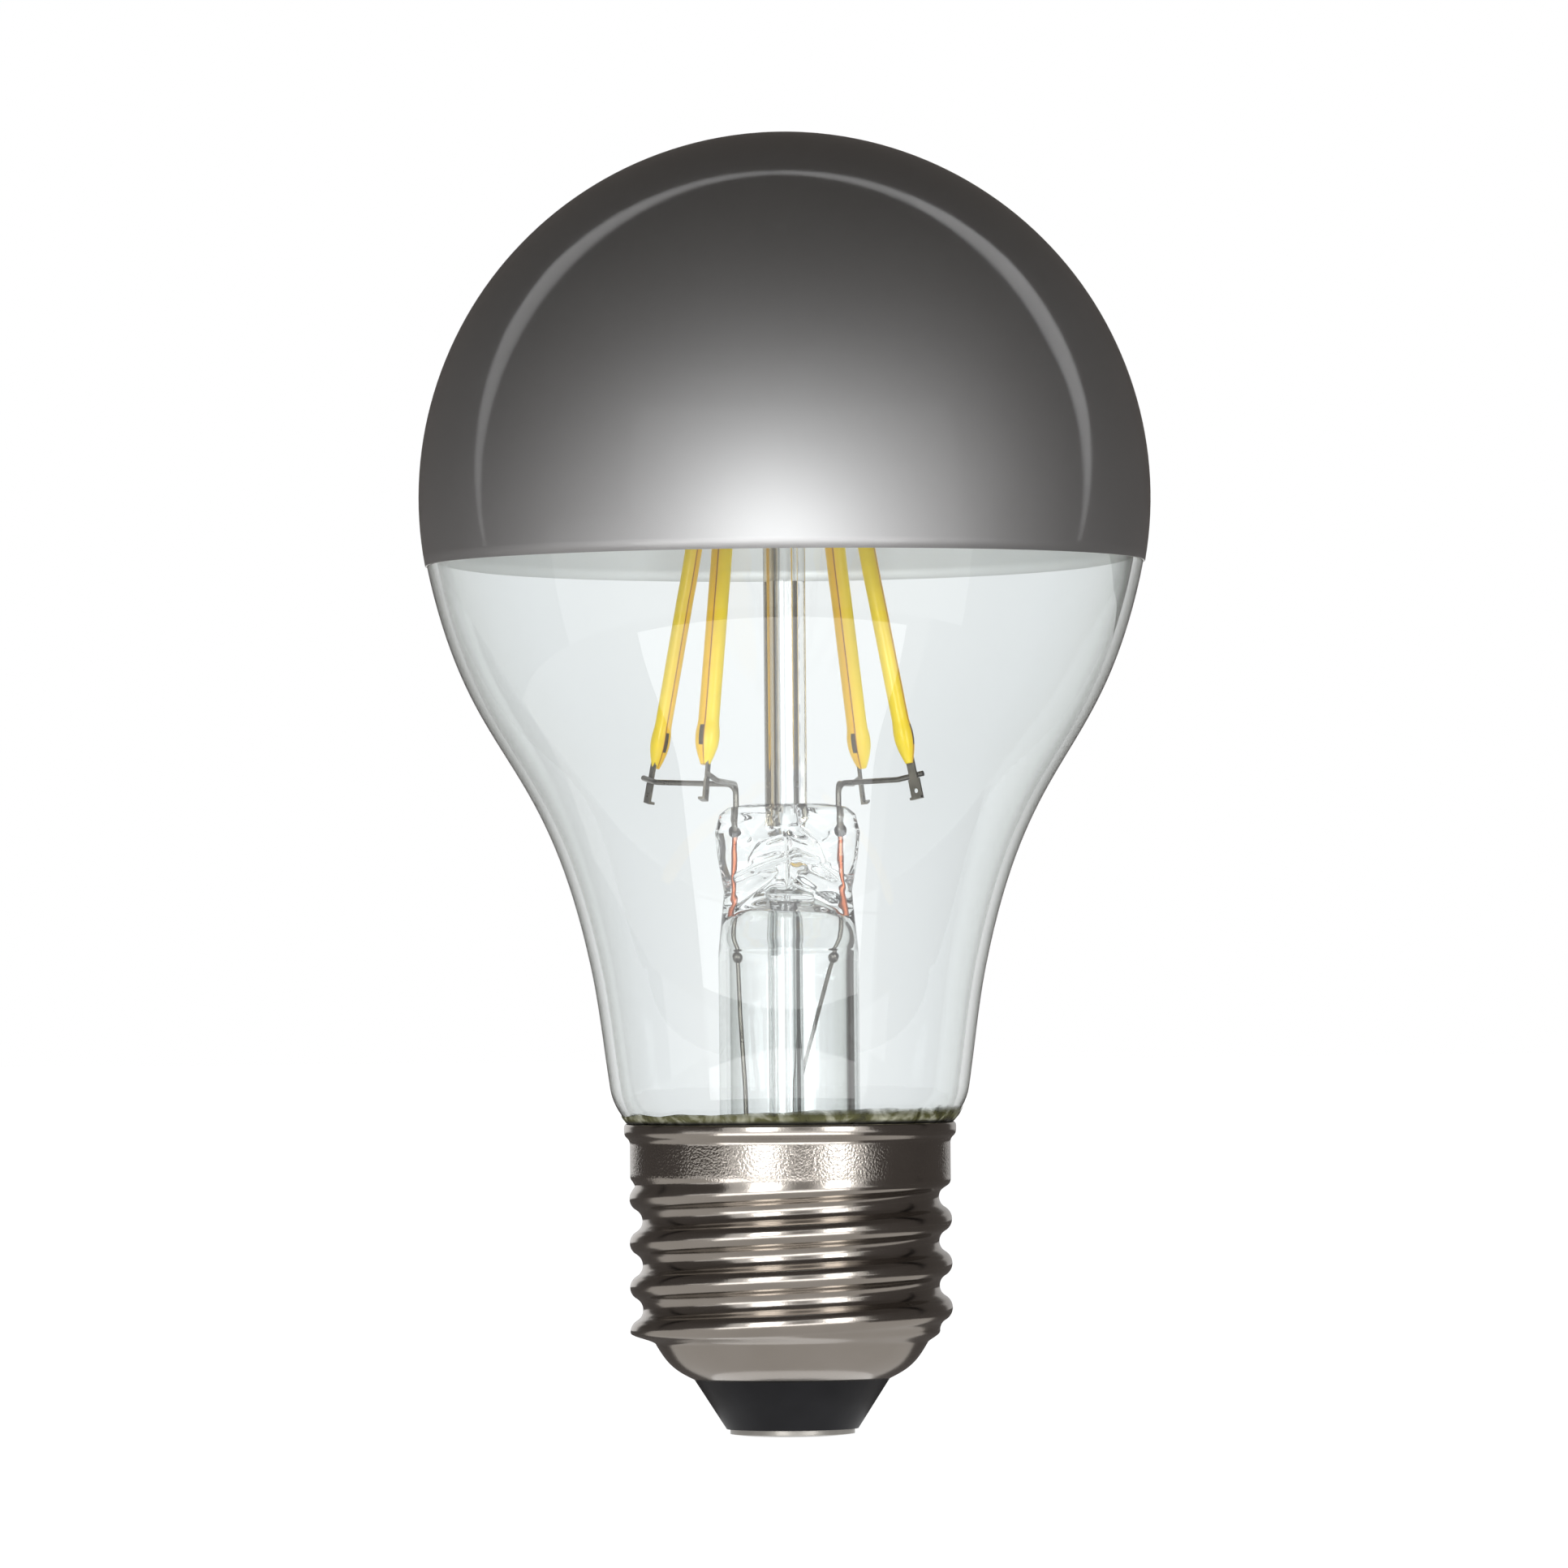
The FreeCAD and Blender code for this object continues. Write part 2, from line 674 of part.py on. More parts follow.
def make_driver():
    board_r = thread_root_r - sheet - board_clearance
    board = Part.makeCylinder(board_r, board_thickness, at(0, board_z))
    capacitor = Part.makeCylinder(capacitor_r, capacitor_height,
                                  Vector(*capacitor_at, board_z - capacitor_height))
    foot_edges = [edge for edge in capacitor.Edges if edge.BoundBox.ZMax < board_z - capacitor_height / 2]
    capacitor = capacitor.makeFillet(capacitor_round, foot_edges)
    fuse = Part.makeCylinder(fuse_r, fuse_height, Vector(*fuse_at, board_z - fuse_height))
    rivet_top_z = insulator_hub_top_z + rivet_head
    first_bend, second_bend = (rivet_top_z + rise for rise in contact_lead_bends)
    contact_lead = wire_along([at(0, rivet_top_z), at(0, first_bend), Vector(*contact_lead_at, second_bend),
                               Vector(*contact_lead_at, board_z)], hook_wire_r)
    wall_y = thread_root_r - sheet - hook_wire_r
    low, high, end = (board_top_z + rise for rise in shell_lead_bends)
    shell_lead = wire_along([Vector(0, shell_lead_y, board_top_z), Vector(0, shell_lead_y, low),
                             Vector(0, wall_y, high), Vector(0, wall_y, end)], hook_wire_r)
    return {
        "driver_board": board,
        "bridge_rectifier": box_on(bridge_size, bridge_at, board_top_z),
        "driver_chip": box_on(chip_size, chip_at, board_top_z),
        "smoothing_capacitor": capacitor,
        "fuse_resistor": fuse,
        "contact_lead": contact_lead,
        "shell_lead": shell_lead,
    }


def build():
    nodes = {}
    nodes["cap_shell"] = make_cap_shell()
    nodes["cap_insulator"] = make_cap_insulator().cut(nodes["cap_shell"])
    nodes["centre_contact"] = make_centre_contact()
    nodes["glass_bulb"] = make_glass_bulb()
    nodes["crown_mirror"] = make_crown_mirror()
    nodes["cap_cement"] = make_cap_cement()

    stem = make_stem_glass()
    exhaust = make_exhaust_tube()
    rod = make_centre_rod()
    dumets = {side: make_dumet(sign) for side, sign in (("left", -1), ("right", 1))}
    leads = {name: make_inner_lead(name) for name in filaments}
    for name, lead in leads.items():
        knot = make_knot(-1 if name.endswith("left") else 1, upper_knot_z)
        leads[name] = lead.cut(knot)
    outer_leads = {side: make_outer_lead(side).cut(dumets[side]) for side in dumets}
    for piece in [exhaust, rod, *dumets.values(), *leads.values(), *outer_leads.values()]:
        stem = stem.cut(piece)
    top_wires = {place: make_top_wire(place) for place in ("front", "rear")}
    for wire in top_wires.values():
        rod = rod.cut(wire)

    nodes["stem_glass"] = stem
    nodes["exhaust_tube"] = exhaust
    nodes["centre_rod"] = rod
    for side in dumets:
        nodes[f"dumet_wire_{side}"] = dumets[side]
        nodes[f"outer_lead_{side}"] = outer_leads[side]
    for place, wire in top_wires.items():
        nodes[f"top_wire_{place}"] = wire
    for name, azimuths in filaments.items():
        nodes[f"inner_lead_{name}"] = leads[name]
        for piece, shape in make_filament(azimuths).items():
            nodes[f"filament_{piece}_{name}"] = shape
    nodes.update(make_driver())
    return nodes


os.makedirs("parts", exist_ok=True)
for node, shape in build().items():
    shape.exportStep(f"parts/{node}.step")
    solids = shape.Solids
    print(node, len(solids), shape.isValid(), round(sum(solid.Volume for solid in solids), 2))
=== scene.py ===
import math

import bmesh
import bpy
from mathutils import Matrix, Vector, noise


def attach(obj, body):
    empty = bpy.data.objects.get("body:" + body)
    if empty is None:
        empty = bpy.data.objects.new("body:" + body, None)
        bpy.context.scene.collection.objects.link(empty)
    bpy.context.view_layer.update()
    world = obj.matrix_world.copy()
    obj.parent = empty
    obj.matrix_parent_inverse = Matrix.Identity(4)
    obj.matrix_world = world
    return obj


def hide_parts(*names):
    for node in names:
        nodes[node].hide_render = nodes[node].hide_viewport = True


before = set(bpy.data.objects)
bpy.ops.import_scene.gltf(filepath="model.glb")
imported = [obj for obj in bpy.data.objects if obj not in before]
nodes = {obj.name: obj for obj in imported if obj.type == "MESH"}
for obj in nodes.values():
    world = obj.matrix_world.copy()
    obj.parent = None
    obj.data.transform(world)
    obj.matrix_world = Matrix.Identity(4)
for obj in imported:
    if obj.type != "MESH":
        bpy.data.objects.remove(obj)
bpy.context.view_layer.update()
MM = 0.001


# Clear bulb glass
# The pear-shaped bulb is blown soda-lime glass about a millimetre thick. Its neck is fused
# to the stem's flare, and it turns in over the cap's rim, where the lamp cement holds it.

GLASS_WALL = 0.85
GLOBE_R = 29.85
GLOBE_Z = 76.8
GLOBE_ARC_START = -12.9
GLASS_SHADOW = 0.95
ROUND_STEPS = 160
# Faint tint of the bulb glass face-on, then painted shade that darkens it towards the edges of its outline.
BULB_TINTS_AND_PAINTED_SHADE = [(0.0, (0.945, 0.965, 0.965)), (0.2, (0.90, 0.925, 0.93)), (0.36, (0.875, 0.90, 0.905)),
              (0.55, (0.86, 0.885, 0.88)), (0.70, (0.80, 0.825, 0.81)), (0.78, (0.60, 0.62, 0.60)),
              (0.84, (0.38, 0.40, 0.37)), (0.97, (0.30, 0.31, 0.29))]


def bezier_row(a, b, c, d, count):
    """Points of a cubic curve from a to d, without its last one."""
    row = []
    for step in range(count):
        t = step / count
        s = 1 - t
        row.append(tuple(s * s * s * p + 3 * s * s * t * q + 3 * s * t * t * u + t * t * t * v
                         for p, q, u, v in zip(a, b, c, d)))
    return row


def bulb_profile(inset):
    """Radius and height in millimetres, from the neck's end up to the crown."""
    rows = [(11.5, 19.5), (11.5, 20.8), (11.5, 22.1)]
    rows += bezier_row((11.5, 23.4), (11.5, 24.35), (12.344, 24.864), (13.05, 25.5), 8)
    rows += bezier_row((13.05, 25.5), (13.756, 26.136), (14.506, 27.215), (14.7, 28.5), 8)
    rows += bezier_row((14.7, 28.5), (15.192, 31.753), (15.513, 35.148), (16.18, 38.37), 14)
    rows += bezier_row((16.18, 38.37), (19.911, 56.387), (25.581, 54.783), (29.097, 70.136), 34)
    rows = [(r - inset, z) for r, z in rows]
    for step in range(44):
        angle = math.radians(GLOBE_ARC_START + (90 - GLOBE_ARC_START) * step / 43)
        rows.append(((GLOBE_R - inset) * math.cos(angle), GLOBE_Z + (GLOBE_R - inset) * math.sin(angle)))
    return rows


def smooth_piece(name, verts, faces):
    mesh = bpy.data.meshes.new(name)
    mesh.from_pydata(verts, [], faces)
    mesh.update()
    mesh.polygons.foreach_set("use_smooth", [True] * len(faces))
    piece = bpy.data.objects.new(name, mesh)
    bpy.context.scene.collection.objects.link(piece)
    return piece


def lathe(name, rows, segments, swell=None):
    """Turns a closed row of (radius, height) points round the axis. Swell can move each point."""
    verts = []
    for index, (radius, height) in enumerate(rows):
        for turn in range(segments):
            angle = 2 * math.pi * turn / segments
            r, z = swell(angle, radius, height, index) if swell else (radius, height)
            verts.append((r * math.cos(angle) * MM, r * math.sin(angle) * MM, z * MM))
    faces = []
    for index in range(len(rows)):
        low = index * segments
        high = (index + 1) % len(rows) * segments
        for turn in range(segments):
            following = (turn + 1) % segments
            faces.append((low + turn, low + following, high + following, high + turn))
    return smooth_piece(name, verts, faces)


def weld_poles(piece):
    """Merges the points that fall together at a pole."""
    work = bmesh.new()
    work.from_mesh(piece.data)
    bmesh.ops.remove_doubles(work, verts=work.verts, dist=1e-7)
    bmesh.ops.recalc_face_normals(work, faces=work.faces)
    work.to_mesh(piece.data)
    work.free()


def new_material(name):
    """A material, its node tree and the sockets of its Principled shader."""
    material = bpy.data.materials.new(name)
    material.use_nodes = True
    return material, material.node_tree, material.node_tree.nodes["Principled BSDF"].inputs


def put_in(tree, socket, value):
    """Gives a socket a number or a colour, or joins another node's output to it."""
    if isinstance(value, bpy.types.NodeSocket):
        tree.links.new(value, socket)
    else:
        socket.default_value = value


def calc(tree, operation, *terms):
    node = tree.nodes.new("ShaderNodeMath")
    node.operation = operation
    for socket, term in zip(node.inputs, terms):
        put_in(tree, socket, term)
    return node.outputs["Value"]


def colors_by(tree, value, stops):
    """Colour that runs through (position, colour) stops as the value grows."""
    node = tree.nodes.new("ShaderNodeValToRGB")
    ramp = node.color_ramp
    for order, (position, color) in enumerate(stops):
        stop = ramp.elements[0] if order == 0 else ramp.elements.new(position)
        stop.position = position
        stop.color = (*color, 1)
    ramp.elements.remove(ramp.elements[-1])
    put_in(tree, node.inputs["Fac"], value)
    return node.outputs["Color"]


def glass_material(name, tints_and_painted_shade, ior):
    """Clear glass: faint tint face-on, painted shade towards the edges, by how far it turns from the eye."""
    material, tree, finish = new_material(name)
    finish["Transmission Weight"].default_value = 1.0
    finish["IOR"].default_value = ior
    finish["Roughness"].default_value = 0.0
    edge = tree.nodes.new("ShaderNodeLayerWeight")
    edge.inputs["Blend"].default_value = 0.5
    # Painted shade: the colour darkens as the glass turns from the eye, towards the edges of its outline.
    put_in(tree, finish["Base Color"], colors_by(tree, edge.outputs["Facing"], tints_and_painted_shade))
    clear = tree.nodes.new("ShaderNodeBsdfTransparent")
    clear.inputs["Color"].default_value = (GLASS_SHADOW, GLASS_SHADOW, GLASS_SHADOW, 1)
    path = tree.nodes.new("ShaderNodeLightPath").outputs
    mix = tree.nodes.new("ShaderNodeMixShader")
    put_in(tree, mix.inputs[0], calc(tree, "MAXIMUM", path["Is Shadow Ray"], path["Is Diffuse Ray"]))
    put_in(tree, mix.inputs[1], tree.nodes["Principled BSDF"].outputs["BSDF"])
    put_in(tree, mix.inputs[2], clear.outputs["BSDF"])
    put_in(tree, tree.nodes["Material Output"].inputs["Surface"], mix.outputs["Shader"])
    return material


bulb = lathe("bulb_glass", bulb_profile(0) + bulb_profile(GLASS_WALL)[::-1], ROUND_STEPS)
weld_poles(bulb)
bulb.data.materials.append(glass_material("bulb_clear_glass", BULB_TINTS_AND_PAINTED_SHADE, 1.45))
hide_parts("glass_bulb")
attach(bulb, "root")


# Mirrored crown
# A thin dark-silver coat over the upper half of the globe, evaporated on the glass and sealed
# with clear lacquer. Its lower edge is a clean level line just under the globe's widest place.

MIRROR_EDGE_Z = 71.4
COAT_INNER_R = 29.9
COAT_MIDDLE_R = 29.95
COAT_OUTER_R = 29.98
LACQUER_INNER_R = 29.99
LACQUER_OUTER_R = 30.0
SILVER_DARK = (0.33, 0.325, 0.325)
SILVER_LIGHT = (0.36, 0.355, 0.355)
LINING_PAINTED_REFLECTION = (0.93, 0.93, 0.92, 1)


def crown_profile(radius):
    """Radius and height of a cap of the globe, from the mirror's edge up to the pole."""
    low = math.asin((MIRROR_EDGE_Z - GLOBE_Z) / radius)
    rows = []
    for step in range(56):
        angle = low + (math.pi / 2 - low) * step / 55
        rows.append((radius * math.cos(angle), GLOBE_Z + radius * math.sin(angle)))
    return rows


def object_place(tree):
    return tree.nodes.new("ShaderNodeTexCoord").outputs["Object"]


def noise_by(tree, place, scale, detail=2.0):
    node = tree.nodes.new("ShaderNodeTexNoise")
    for name, value in (("Vector", place), ("Scale", scale), ("Detail", detail)):
        put_in(tree, node.inputs[name], value)
    return node.outputs["Fac"]


def ranged(tree, value, low, high, start=0.0, end=1.0, smooth=False):
    """Brings a value that runs from start to end to one that runs from low to high."""
    node = tree.nodes.new("ShaderNodeMapRange")
    if smooth:
        node.interpolation_type = "SMOOTHSTEP"
    limits = (("From Min", start), ("From Max", end), ("To Min", low), ("To Max", high))
    for name, number in limits:
        put_in(tree, node.inputs[name], number)
    put_in(tree, node.inputs["Value"], value)
    return node.outputs["Result"]


def blend(tree, factor, first, second, kind="MIX"):
    node = tree.nodes.new("ShaderNodeMix")
    node.data_type = "RGBA"
    node.blend_type = kind
    for name, value in (("Factor", factor), ("A", first), ("B", second)):
        put_in(tree, node.inputs[name], value)
    return node.outputs["Result"]


def mottling_group():
    """Soft patches for any finish: a colour, a level between two numbers, and a height."""
    tree = bpy.data.node_groups.new("mottling", "ShaderNodeTree")
    for name, kind in (("Place", "Vector"), ("Scale", "Float"), ("Detail", "Float"), ("Dark", "Color"),
                       ("Light", "Color"), ("Low", "Float"), ("High", "Float")):
        tree.interface.new_socket(name, in_out="INPUT", socket_type=f"NodeSocket{kind}")
    for name, kind in (("Color", "Color"), ("Level", "Float"), ("Height", "Float")):
        tree.interface.new_socket(name, in_out="OUTPUT", socket_type=f"NodeSocket{kind}")
    given = tree.nodes.new("NodeGroupInput").outputs
    result = tree.nodes.new("NodeGroupOutput").inputs
    patches = noise_by(tree, given["Place"], given["Scale"], given["Detail"])
    put_in(tree, result["Color"], blend(tree, patches, given["Dark"], given["Light"]))
    put_in(tree, result["Level"], ranged(tree, patches, given["Low"], given["High"]))
    put_in(tree, result["Height"], patches)
    return tree


mottling = mottling_group()


def mottled(tree, place, scale, detail=2.0, dark=(0, 0, 0), light=(1, 1, 1), low=0.0, high=1.0):
    """Outputs of the mottling group, placed in a material with that material's values."""
    node = tree.nodes.new("ShaderNodeGroup")
    node.node_tree = mottling
    values = (("Place", place), ("Scale", scale), ("Detail", detail), ("Dark", (*dark, 1)),
              ("Light", (*light, 1)), ("Low", low), ("High", high))
    for name, value in values:
        put_in(tree, node.inputs[name], value)
    return node.outputs


coat_rows = crown_profile(COAT_OUTER_R) + crown_profile(COAT_INNER_R)[::-1]
crown = lathe("crown_mirror_coat", coat_rows, ROUND_STEPS)
weld_poles(crown)
crown_silver, tree, finish = new_material("crown_dark_silver")
place = object_place(tree)
satin = mottled(tree, place, 60, 4, SILVER_DARK, SILVER_LIGHT, 0.56, 0.59)
from_centre = tree.nodes.new("ShaderNodeVectorMath")
from_centre.operation = "DISTANCE"
from_centre.inputs[1].default_value = (0, 0, GLOBE_Z * MM)
put_in(tree, from_centre.inputs[0], place)
inner_face = calc(tree, "LESS_THAN", from_centre.outputs["Value"], COAT_MIDDLE_R * MM)
# The coat's inner face, seen up through the glass, is pale, rough and little metallic: a painted reflection
# of the bright surroundings in place of the silver's mirror.
put_in(tree, finish["Roughness"], ranged(tree, inner_face, satin["Level"], 0.5))
put_in(tree, finish["Metallic"], ranged(tree, inner_face, 1.0, 0.2))
put_in(tree, finish["Base Color"], blend(tree, inner_face, satin["Color"], LINING_PAINTED_REFLECTION))
crown.data.materials.append(crown_silver)
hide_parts("crown_mirror")
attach(crown, "root")

film_rows = crown_profile(LACQUER_OUTER_R) + crown_profile(LACQUER_INNER_R)[::-1]
lacquer = lathe("crown_lacquer", film_rows, ROUND_STEPS)
weld_poles(lacquer)
film, tree, finish = new_material("crown_clear_lacquer")
finish["Metallic"].default_value = 1.0
finish["Base Color"].default_value = (1, 1, 1, 1)
gleam = tree.nodes.new("ShaderNodeFresnel")
gleam.inputs["IOR"].default_value = 1.2
side = tree.nodes.new("ShaderNodeNewGeometry")
outward = calc(tree, "SUBTRACT", 1.0, side.outputs["Backfacing"])
put_in(tree, finish["Alpha"], calc(tree, "MULTIPLY", gleam.outputs["Fac"], outward))
put_in(tree, finish["Roughness"], mottled(tree, object_place(tree), 90, low=0.06, high=0.12)["Level"])
lacquer.data.materials.append(film)
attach(lacquer, "root")


# Screw cap shell
# One sheet of nickel-plated steel, drawn to a bowl, rolled with a right-handed round thread
# and flared to a rim, over a skirt whose surface the rolls left slightly pebbled.

THREAD_PITCH = 3.629
THREAD_CREST_R = 13.2
THREAD_DEPTH = 1.05
THREAD_ARC = 1.05
THREAD_CREST_Z = 14.03
THREAD_TOP_Z = 21.3
THREAD_TOP_FADE = 1.4
THREAD_FOOT_Z = 7.5
THREAD_FOOT_FADE = 1.0
SKIRT_R = 13.13
SKIRT_TOP_Z = 23.9
RIM_R = 13.6
RIM_Z = 25.3
BOWL_R = 11.1
BOWL_FOOT_R = 8.0
BOWL_FOOT_Z = 4.65
BOWL_SWELL = 0.4
SHEET = 0.35
CAP_STEPS = 288
NICKEL_DARK = (0.33, 0.30, 0.265)
NICKEL_LIGHT = (0.43, 0.40, 0.37)


def ease(low, high, value):
    """Smooth step from 0 at low to 1 at high."""
    share = min(max((value - low) / (high - low), 0), 1)
    return share * share * (3 - 2 * share)


def thread_swell(angle, radius, height, index):
    """Rolled wave between the bowl and the skirt, kept as deep as the sheet's own inset."""
    if not THREAD_FOOT_Z < height < THREAD_TOP_Z:
        return radius, height
    inset = SHEET if index >= len(cap_outer) else 0
    turns = (height - THREAD_CREST_Z) / THREAD_PITCH - angle / (2 * math.pi)
    away = abs(turns - round(turns)) * THREAD_PITCH
    near = min(away, THREAD_PITCH / 2 - away)
    drop = THREAD_ARC - math.sqrt(THREAD_ARC ** 2 - near ** 2)
    wave = THREAD_CREST_R - inset - (drop if away < THREAD_PITCH / 4 else THREAD_DEPTH - drop)
    to_skirt = ease(THREAD_TOP_Z - THREAD_TOP_FADE, THREAD_TOP_Z, height)
    to_bowl = 1 - ease(THREAD_FOOT_Z, THREAD_FOOT_Z + THREAD_FOOT_FADE, height)
    wave += to_skirt * (SKIRT_R - inset - wave)
    wave += to_bowl * (BOWL_R - inset - wave)
    return wave, height


def cap_wall(inset, thread_rows):
    """Radius and height of the sheet's outer face, or of its inner one at the sheet's inset."""
    rows = []
    for step in range(14):
        share = step / 14
        swell = BOWL_SWELL * math.sin(math.pi * share)
        r = BOWL_FOOT_R + (BOWL_R - BOWL_FOOT_R - inset) * share + 0.68 * swell
        z = BOWL_FOOT_Z + inset + (THREAD_FOOT_Z - BOWL_FOOT_Z - inset) * share - 0.73 * swell
        rows.append((r, z))
    row_height = (THREAD_TOP_Z - THREAD_FOOT_Z) / thread_rows
    rows += [(BOWL_R - inset, THREAD_FOOT_Z + row_height * step) for step in range(thread_rows)]
    skirt = SKIRT_R - inset
    rim = RIM_R - inset
    rows += [(skirt, THREAD_TOP_Z + 0.26 * step) for step in range(10)]
    rows += bezier_row((skirt, SKIRT_TOP_Z), (skirt, 24.55), (rim, 24.35), (rim, 25.0), 10)
    rows += [(rim, 25.0), (rim, RIM_Z)]
    return rows


def axes_of(tree, place):
    node = tree.nodes.new("ShaderNodeSeparateXYZ")
    put_in(tree, node.inputs["Vector"], place)
    return node.outputs


def raised(tree, height, strength, distance, under=None):
    """Normal of a bump whose distance is in millimetres, over the normal under it if there is one."""
    node = tree.nodes.new("ShaderNodeBump")
    node.inputs["Strength"].default_value = strength
    node.inputs["Distance"].default_value = distance * MM
    put_in(tree, node.inputs["Height"], height)
    if under is not None:
        put_in(tree, node.inputs["Normal"], under)
    return node.outputs["Normal"]


cap_outer = cap_wall(0, 110) + [(13.58, 25.45), (13.5, 25.56), (13.43, 25.6)]
cap_inner = [(13.3, 25.58), (13.25, 25.5)] + cap_wall(SHEET, 60)[::-1]
cap = lathe("screw_cap_shell", cap_outer + cap_inner, CAP_STEPS, swell=thread_swell)
cap_nickel, tree, finish = new_material("cap_nickel")
finish["Metallic"].default_value = 1.0
place = object_place(tree)
height = axes_of(tree, place)["Z"]
above_thread = ranged(tree, height, 0.0, 1.0, 20.4 * MM, 21.6 * MM, smooth=True)
below_rim = ranged(tree, height, 1.0, 0.0, 23.6 * MM, 24.2 * MM, smooth=True)
on_skirt = calc(tree, "MAXIMUM", calc(tree, "MULTIPLY", above_thread, below_rim), 0.1)
pebbles = calc(tree, "MULTIPLY", noise_by(tree, place, 5200, 1), on_skirt)
roller_waves = raised(tree, noise_by(tree, place, 260, 1), 0.35, 0.1)
put_in(tree, finish["Normal"], raised(tree, pebbles, 0.5, 0.06, under=roller_waves))
dull = mottled(tree, place, 140, 6, NICKEL_DARK, NICKEL_LIGHT, 0.12, 0.24)
put_in(tree, finish["Roughness"], dull["Level"])
put_in(tree, finish["Base Color"], dull["Color"])
cap.data.materials.append(cap_nickel)
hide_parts("cap_shell")
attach(cap, "root")


# Black insulator and centre contact
# Black vitrite glass is cast hot into the bottom of the cap and carries the contact button,
# a tinned brass disc riveted through its middle.

black_glass, tree, finish = new_material("black_vitrite")
finish["Roughness"].default_value = 0.45
finish["Specular IOR Level"].default_value = 0.15
ripple = mottled(tree, object_place(tree), 320, dark=(0.006, 0.006, 0.007), light=(0.014, 0.014, 0.016))
put_in(tree, finish["Base Color"], ripple["Color"])
put_in(tree, finish["Normal"], raised(tree, ripple["Height"], 0.25, 0.2))


def dress(node, material):
    """Gives a CAD node its material."""
    piece = nodes[node]
    piece.data.materials.clear()
    piece.data.materials.append(material)


def mottled_metal(name, dark, light, low, high, scale):
    """Drawn or stamped metal whose colour and gloss vary a little along it."""
    material, tree, finish = new_material(name)
    finish["Metallic"].default_value = 1.0
    patches = mottled(tree, object_place(tree), scale, 5, dark, light, low, high)
    put_in(tree, finish["Base Color"], patches["Color"])
    put_in(tree, finish["Roughness"], patches["Level"])
    return material


dress("cap_insulator", black_glass)
dress("centre_contact", mottled_metal("contact_tin", (0.20, 0.19, 0.17), (0.46, 0.44, 0.41), 0.25, 0.45, 400))


# Lamp cement
# Olive basing cement fills the skirt round the neck and creeps a little way up the glass,
# where it set with an uneven, rounded edge.

CEMENT_ROWS = 26
CEMENT_TOP = 26.6
CEMENT_COLORS = [(0.30, (0.014, 0.014, 0.005)), (0.5, (0.085, 0.085, 0.022)), (0.72, (0.5, 0.5, 0.38))]
CREVICE_PAINTED_SHADE = (0.006, 0.006, 0.004, 1)


def glass_radius(height):
    """Radius of the bulb's outer face at a height."""
    rows = bulb_profile(0)
    for (r0, z0), (r1, z1) in zip(rows, rows[1:]):
        if z0 <= height <= z1:
            return r0 + (r1 - r0) * (height - z0) / (z1 - z0)
    return rows[-1][0]


def cement_creep(angle, radius, height, index):
    """The first rows follow the glass from the rim up to an edge that wanders round the neck."""
    if index > CEMENT_ROWS:
        return radius, height
    share = index / CEMENT_ROWS
    wander = 0.22 * noise.noise((3 * math.cos(angle), 3 * math.sin(angle), 1.0))
    wander += 0.10 * noise.noise((11 * math.cos(angle), 11 * math.sin(angle), 5.0))
    top = CEMENT_TOP + 0.32 * math.cos(angle) + wander
    z = RIM_Z + (top - RIM_Z) * share
    lump = 0.06 * noise.noise((14 * math.cos(angle), 14 * math.sin(angle), 2 * z))
    return glass_radius(z) + 0.03 + (0.2 + lump) * math.sqrt(max(1 - share, 0)), z


creep_rows = [(12.95, RIM_Z)] * (CEMENT_ROWS + 1)
back_rows = [(12.95, RIM_Z), (12.3, 24.75), (11.6, 23.8), (11.55, 21.6),
             (12.7, 21.6), (12.7, 24.2), (13.0, 24.9)]
cement_ring = lathe("basing_cement", creep_rows + back_rows, CAP_STEPS, swell=cement_creep)
cement, tree, finish = new_material("olive_cement")
place = object_place(tree)
height = axes_of(tree, place)["Z"]
grain = noise_by(tree, place, 520, 6)
grain.node.inputs["Distortion"].default_value = 0.8
# Painted shade: the cement goes near black just above the rim, in the crevice between rim and glass.
above_crevice_shade = ranged(tree, height, 0.0, 1.0, 25.65 * MM, 26.0 * MM, smooth=True)
put_in(tree, finish["Base Color"], blend(tree, above_crevice_shade, CREVICE_PAINTED_SHADE, colors_by(tree, grain, CEMENT_COLORS)))
put_in(tree, finish["Roughness"], ranged(tree, grain, 0.15, 0.8, 0.35, 0.65))
put_in(tree, finish["Normal"], raised(tree, grain, 0.7, 0.25))
thinning = ranged(tree, height, 1.25, 0.05, 25.95 * MM, 26.9 * MM)
cover = calc(tree, "ADD", thinning, ranged(tree, grain, 0.6, -0.6))
cover.node.use_clamp = True
put_in(tree, finish["Alpha"], cover)
cement_ring.data.materials.append(cement)
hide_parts("cap_cement")
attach(cement_ring, "root")


# Glass stem, exhaust tube and centre rod
# The stem is a flared glass tube, pinched flat and fused at its top round the feed wires. The
# exhaust tube opens under the pinch, and a tube with a melted bead holds the filament heads.

STEM_IOR = 1.5
# Faint tints of the stem, exhaust tube and rod face-on, with painted shade towards their edges; the exhaust
# tube's also has painted dark bands inside its outline.
STEM_TINTS_AND_PAINTED_SHADE = [(0.0, (0.99, 1.0, 1.0)), (0.26, (0.97, 0.985, 0.985)), (0.36, (0.84, 0.86, 0.84)),
              (0.55, (0.76, 0.78, 0.76)), (0.75, (0.62, 0.64, 0.62)), (0.9, (0.22, 0.24, 0.23))]
EXHAUST_TINTS_AND_PAINTED_SHADE = [(0.0, (1.0, 1.0, 1.0)), (0.2, (0.99, 1.0, 1.0)), (0.27, (0.2, 0.22, 0.22)),
                 (0.42, (0.1, 0.13, 0.12)), (0.55, (0.8, 0.83, 0.81)), (0.85, (0.7, 0.72, 0.7)),
                 (0.97, (0.4, 0.42, 0.41))]
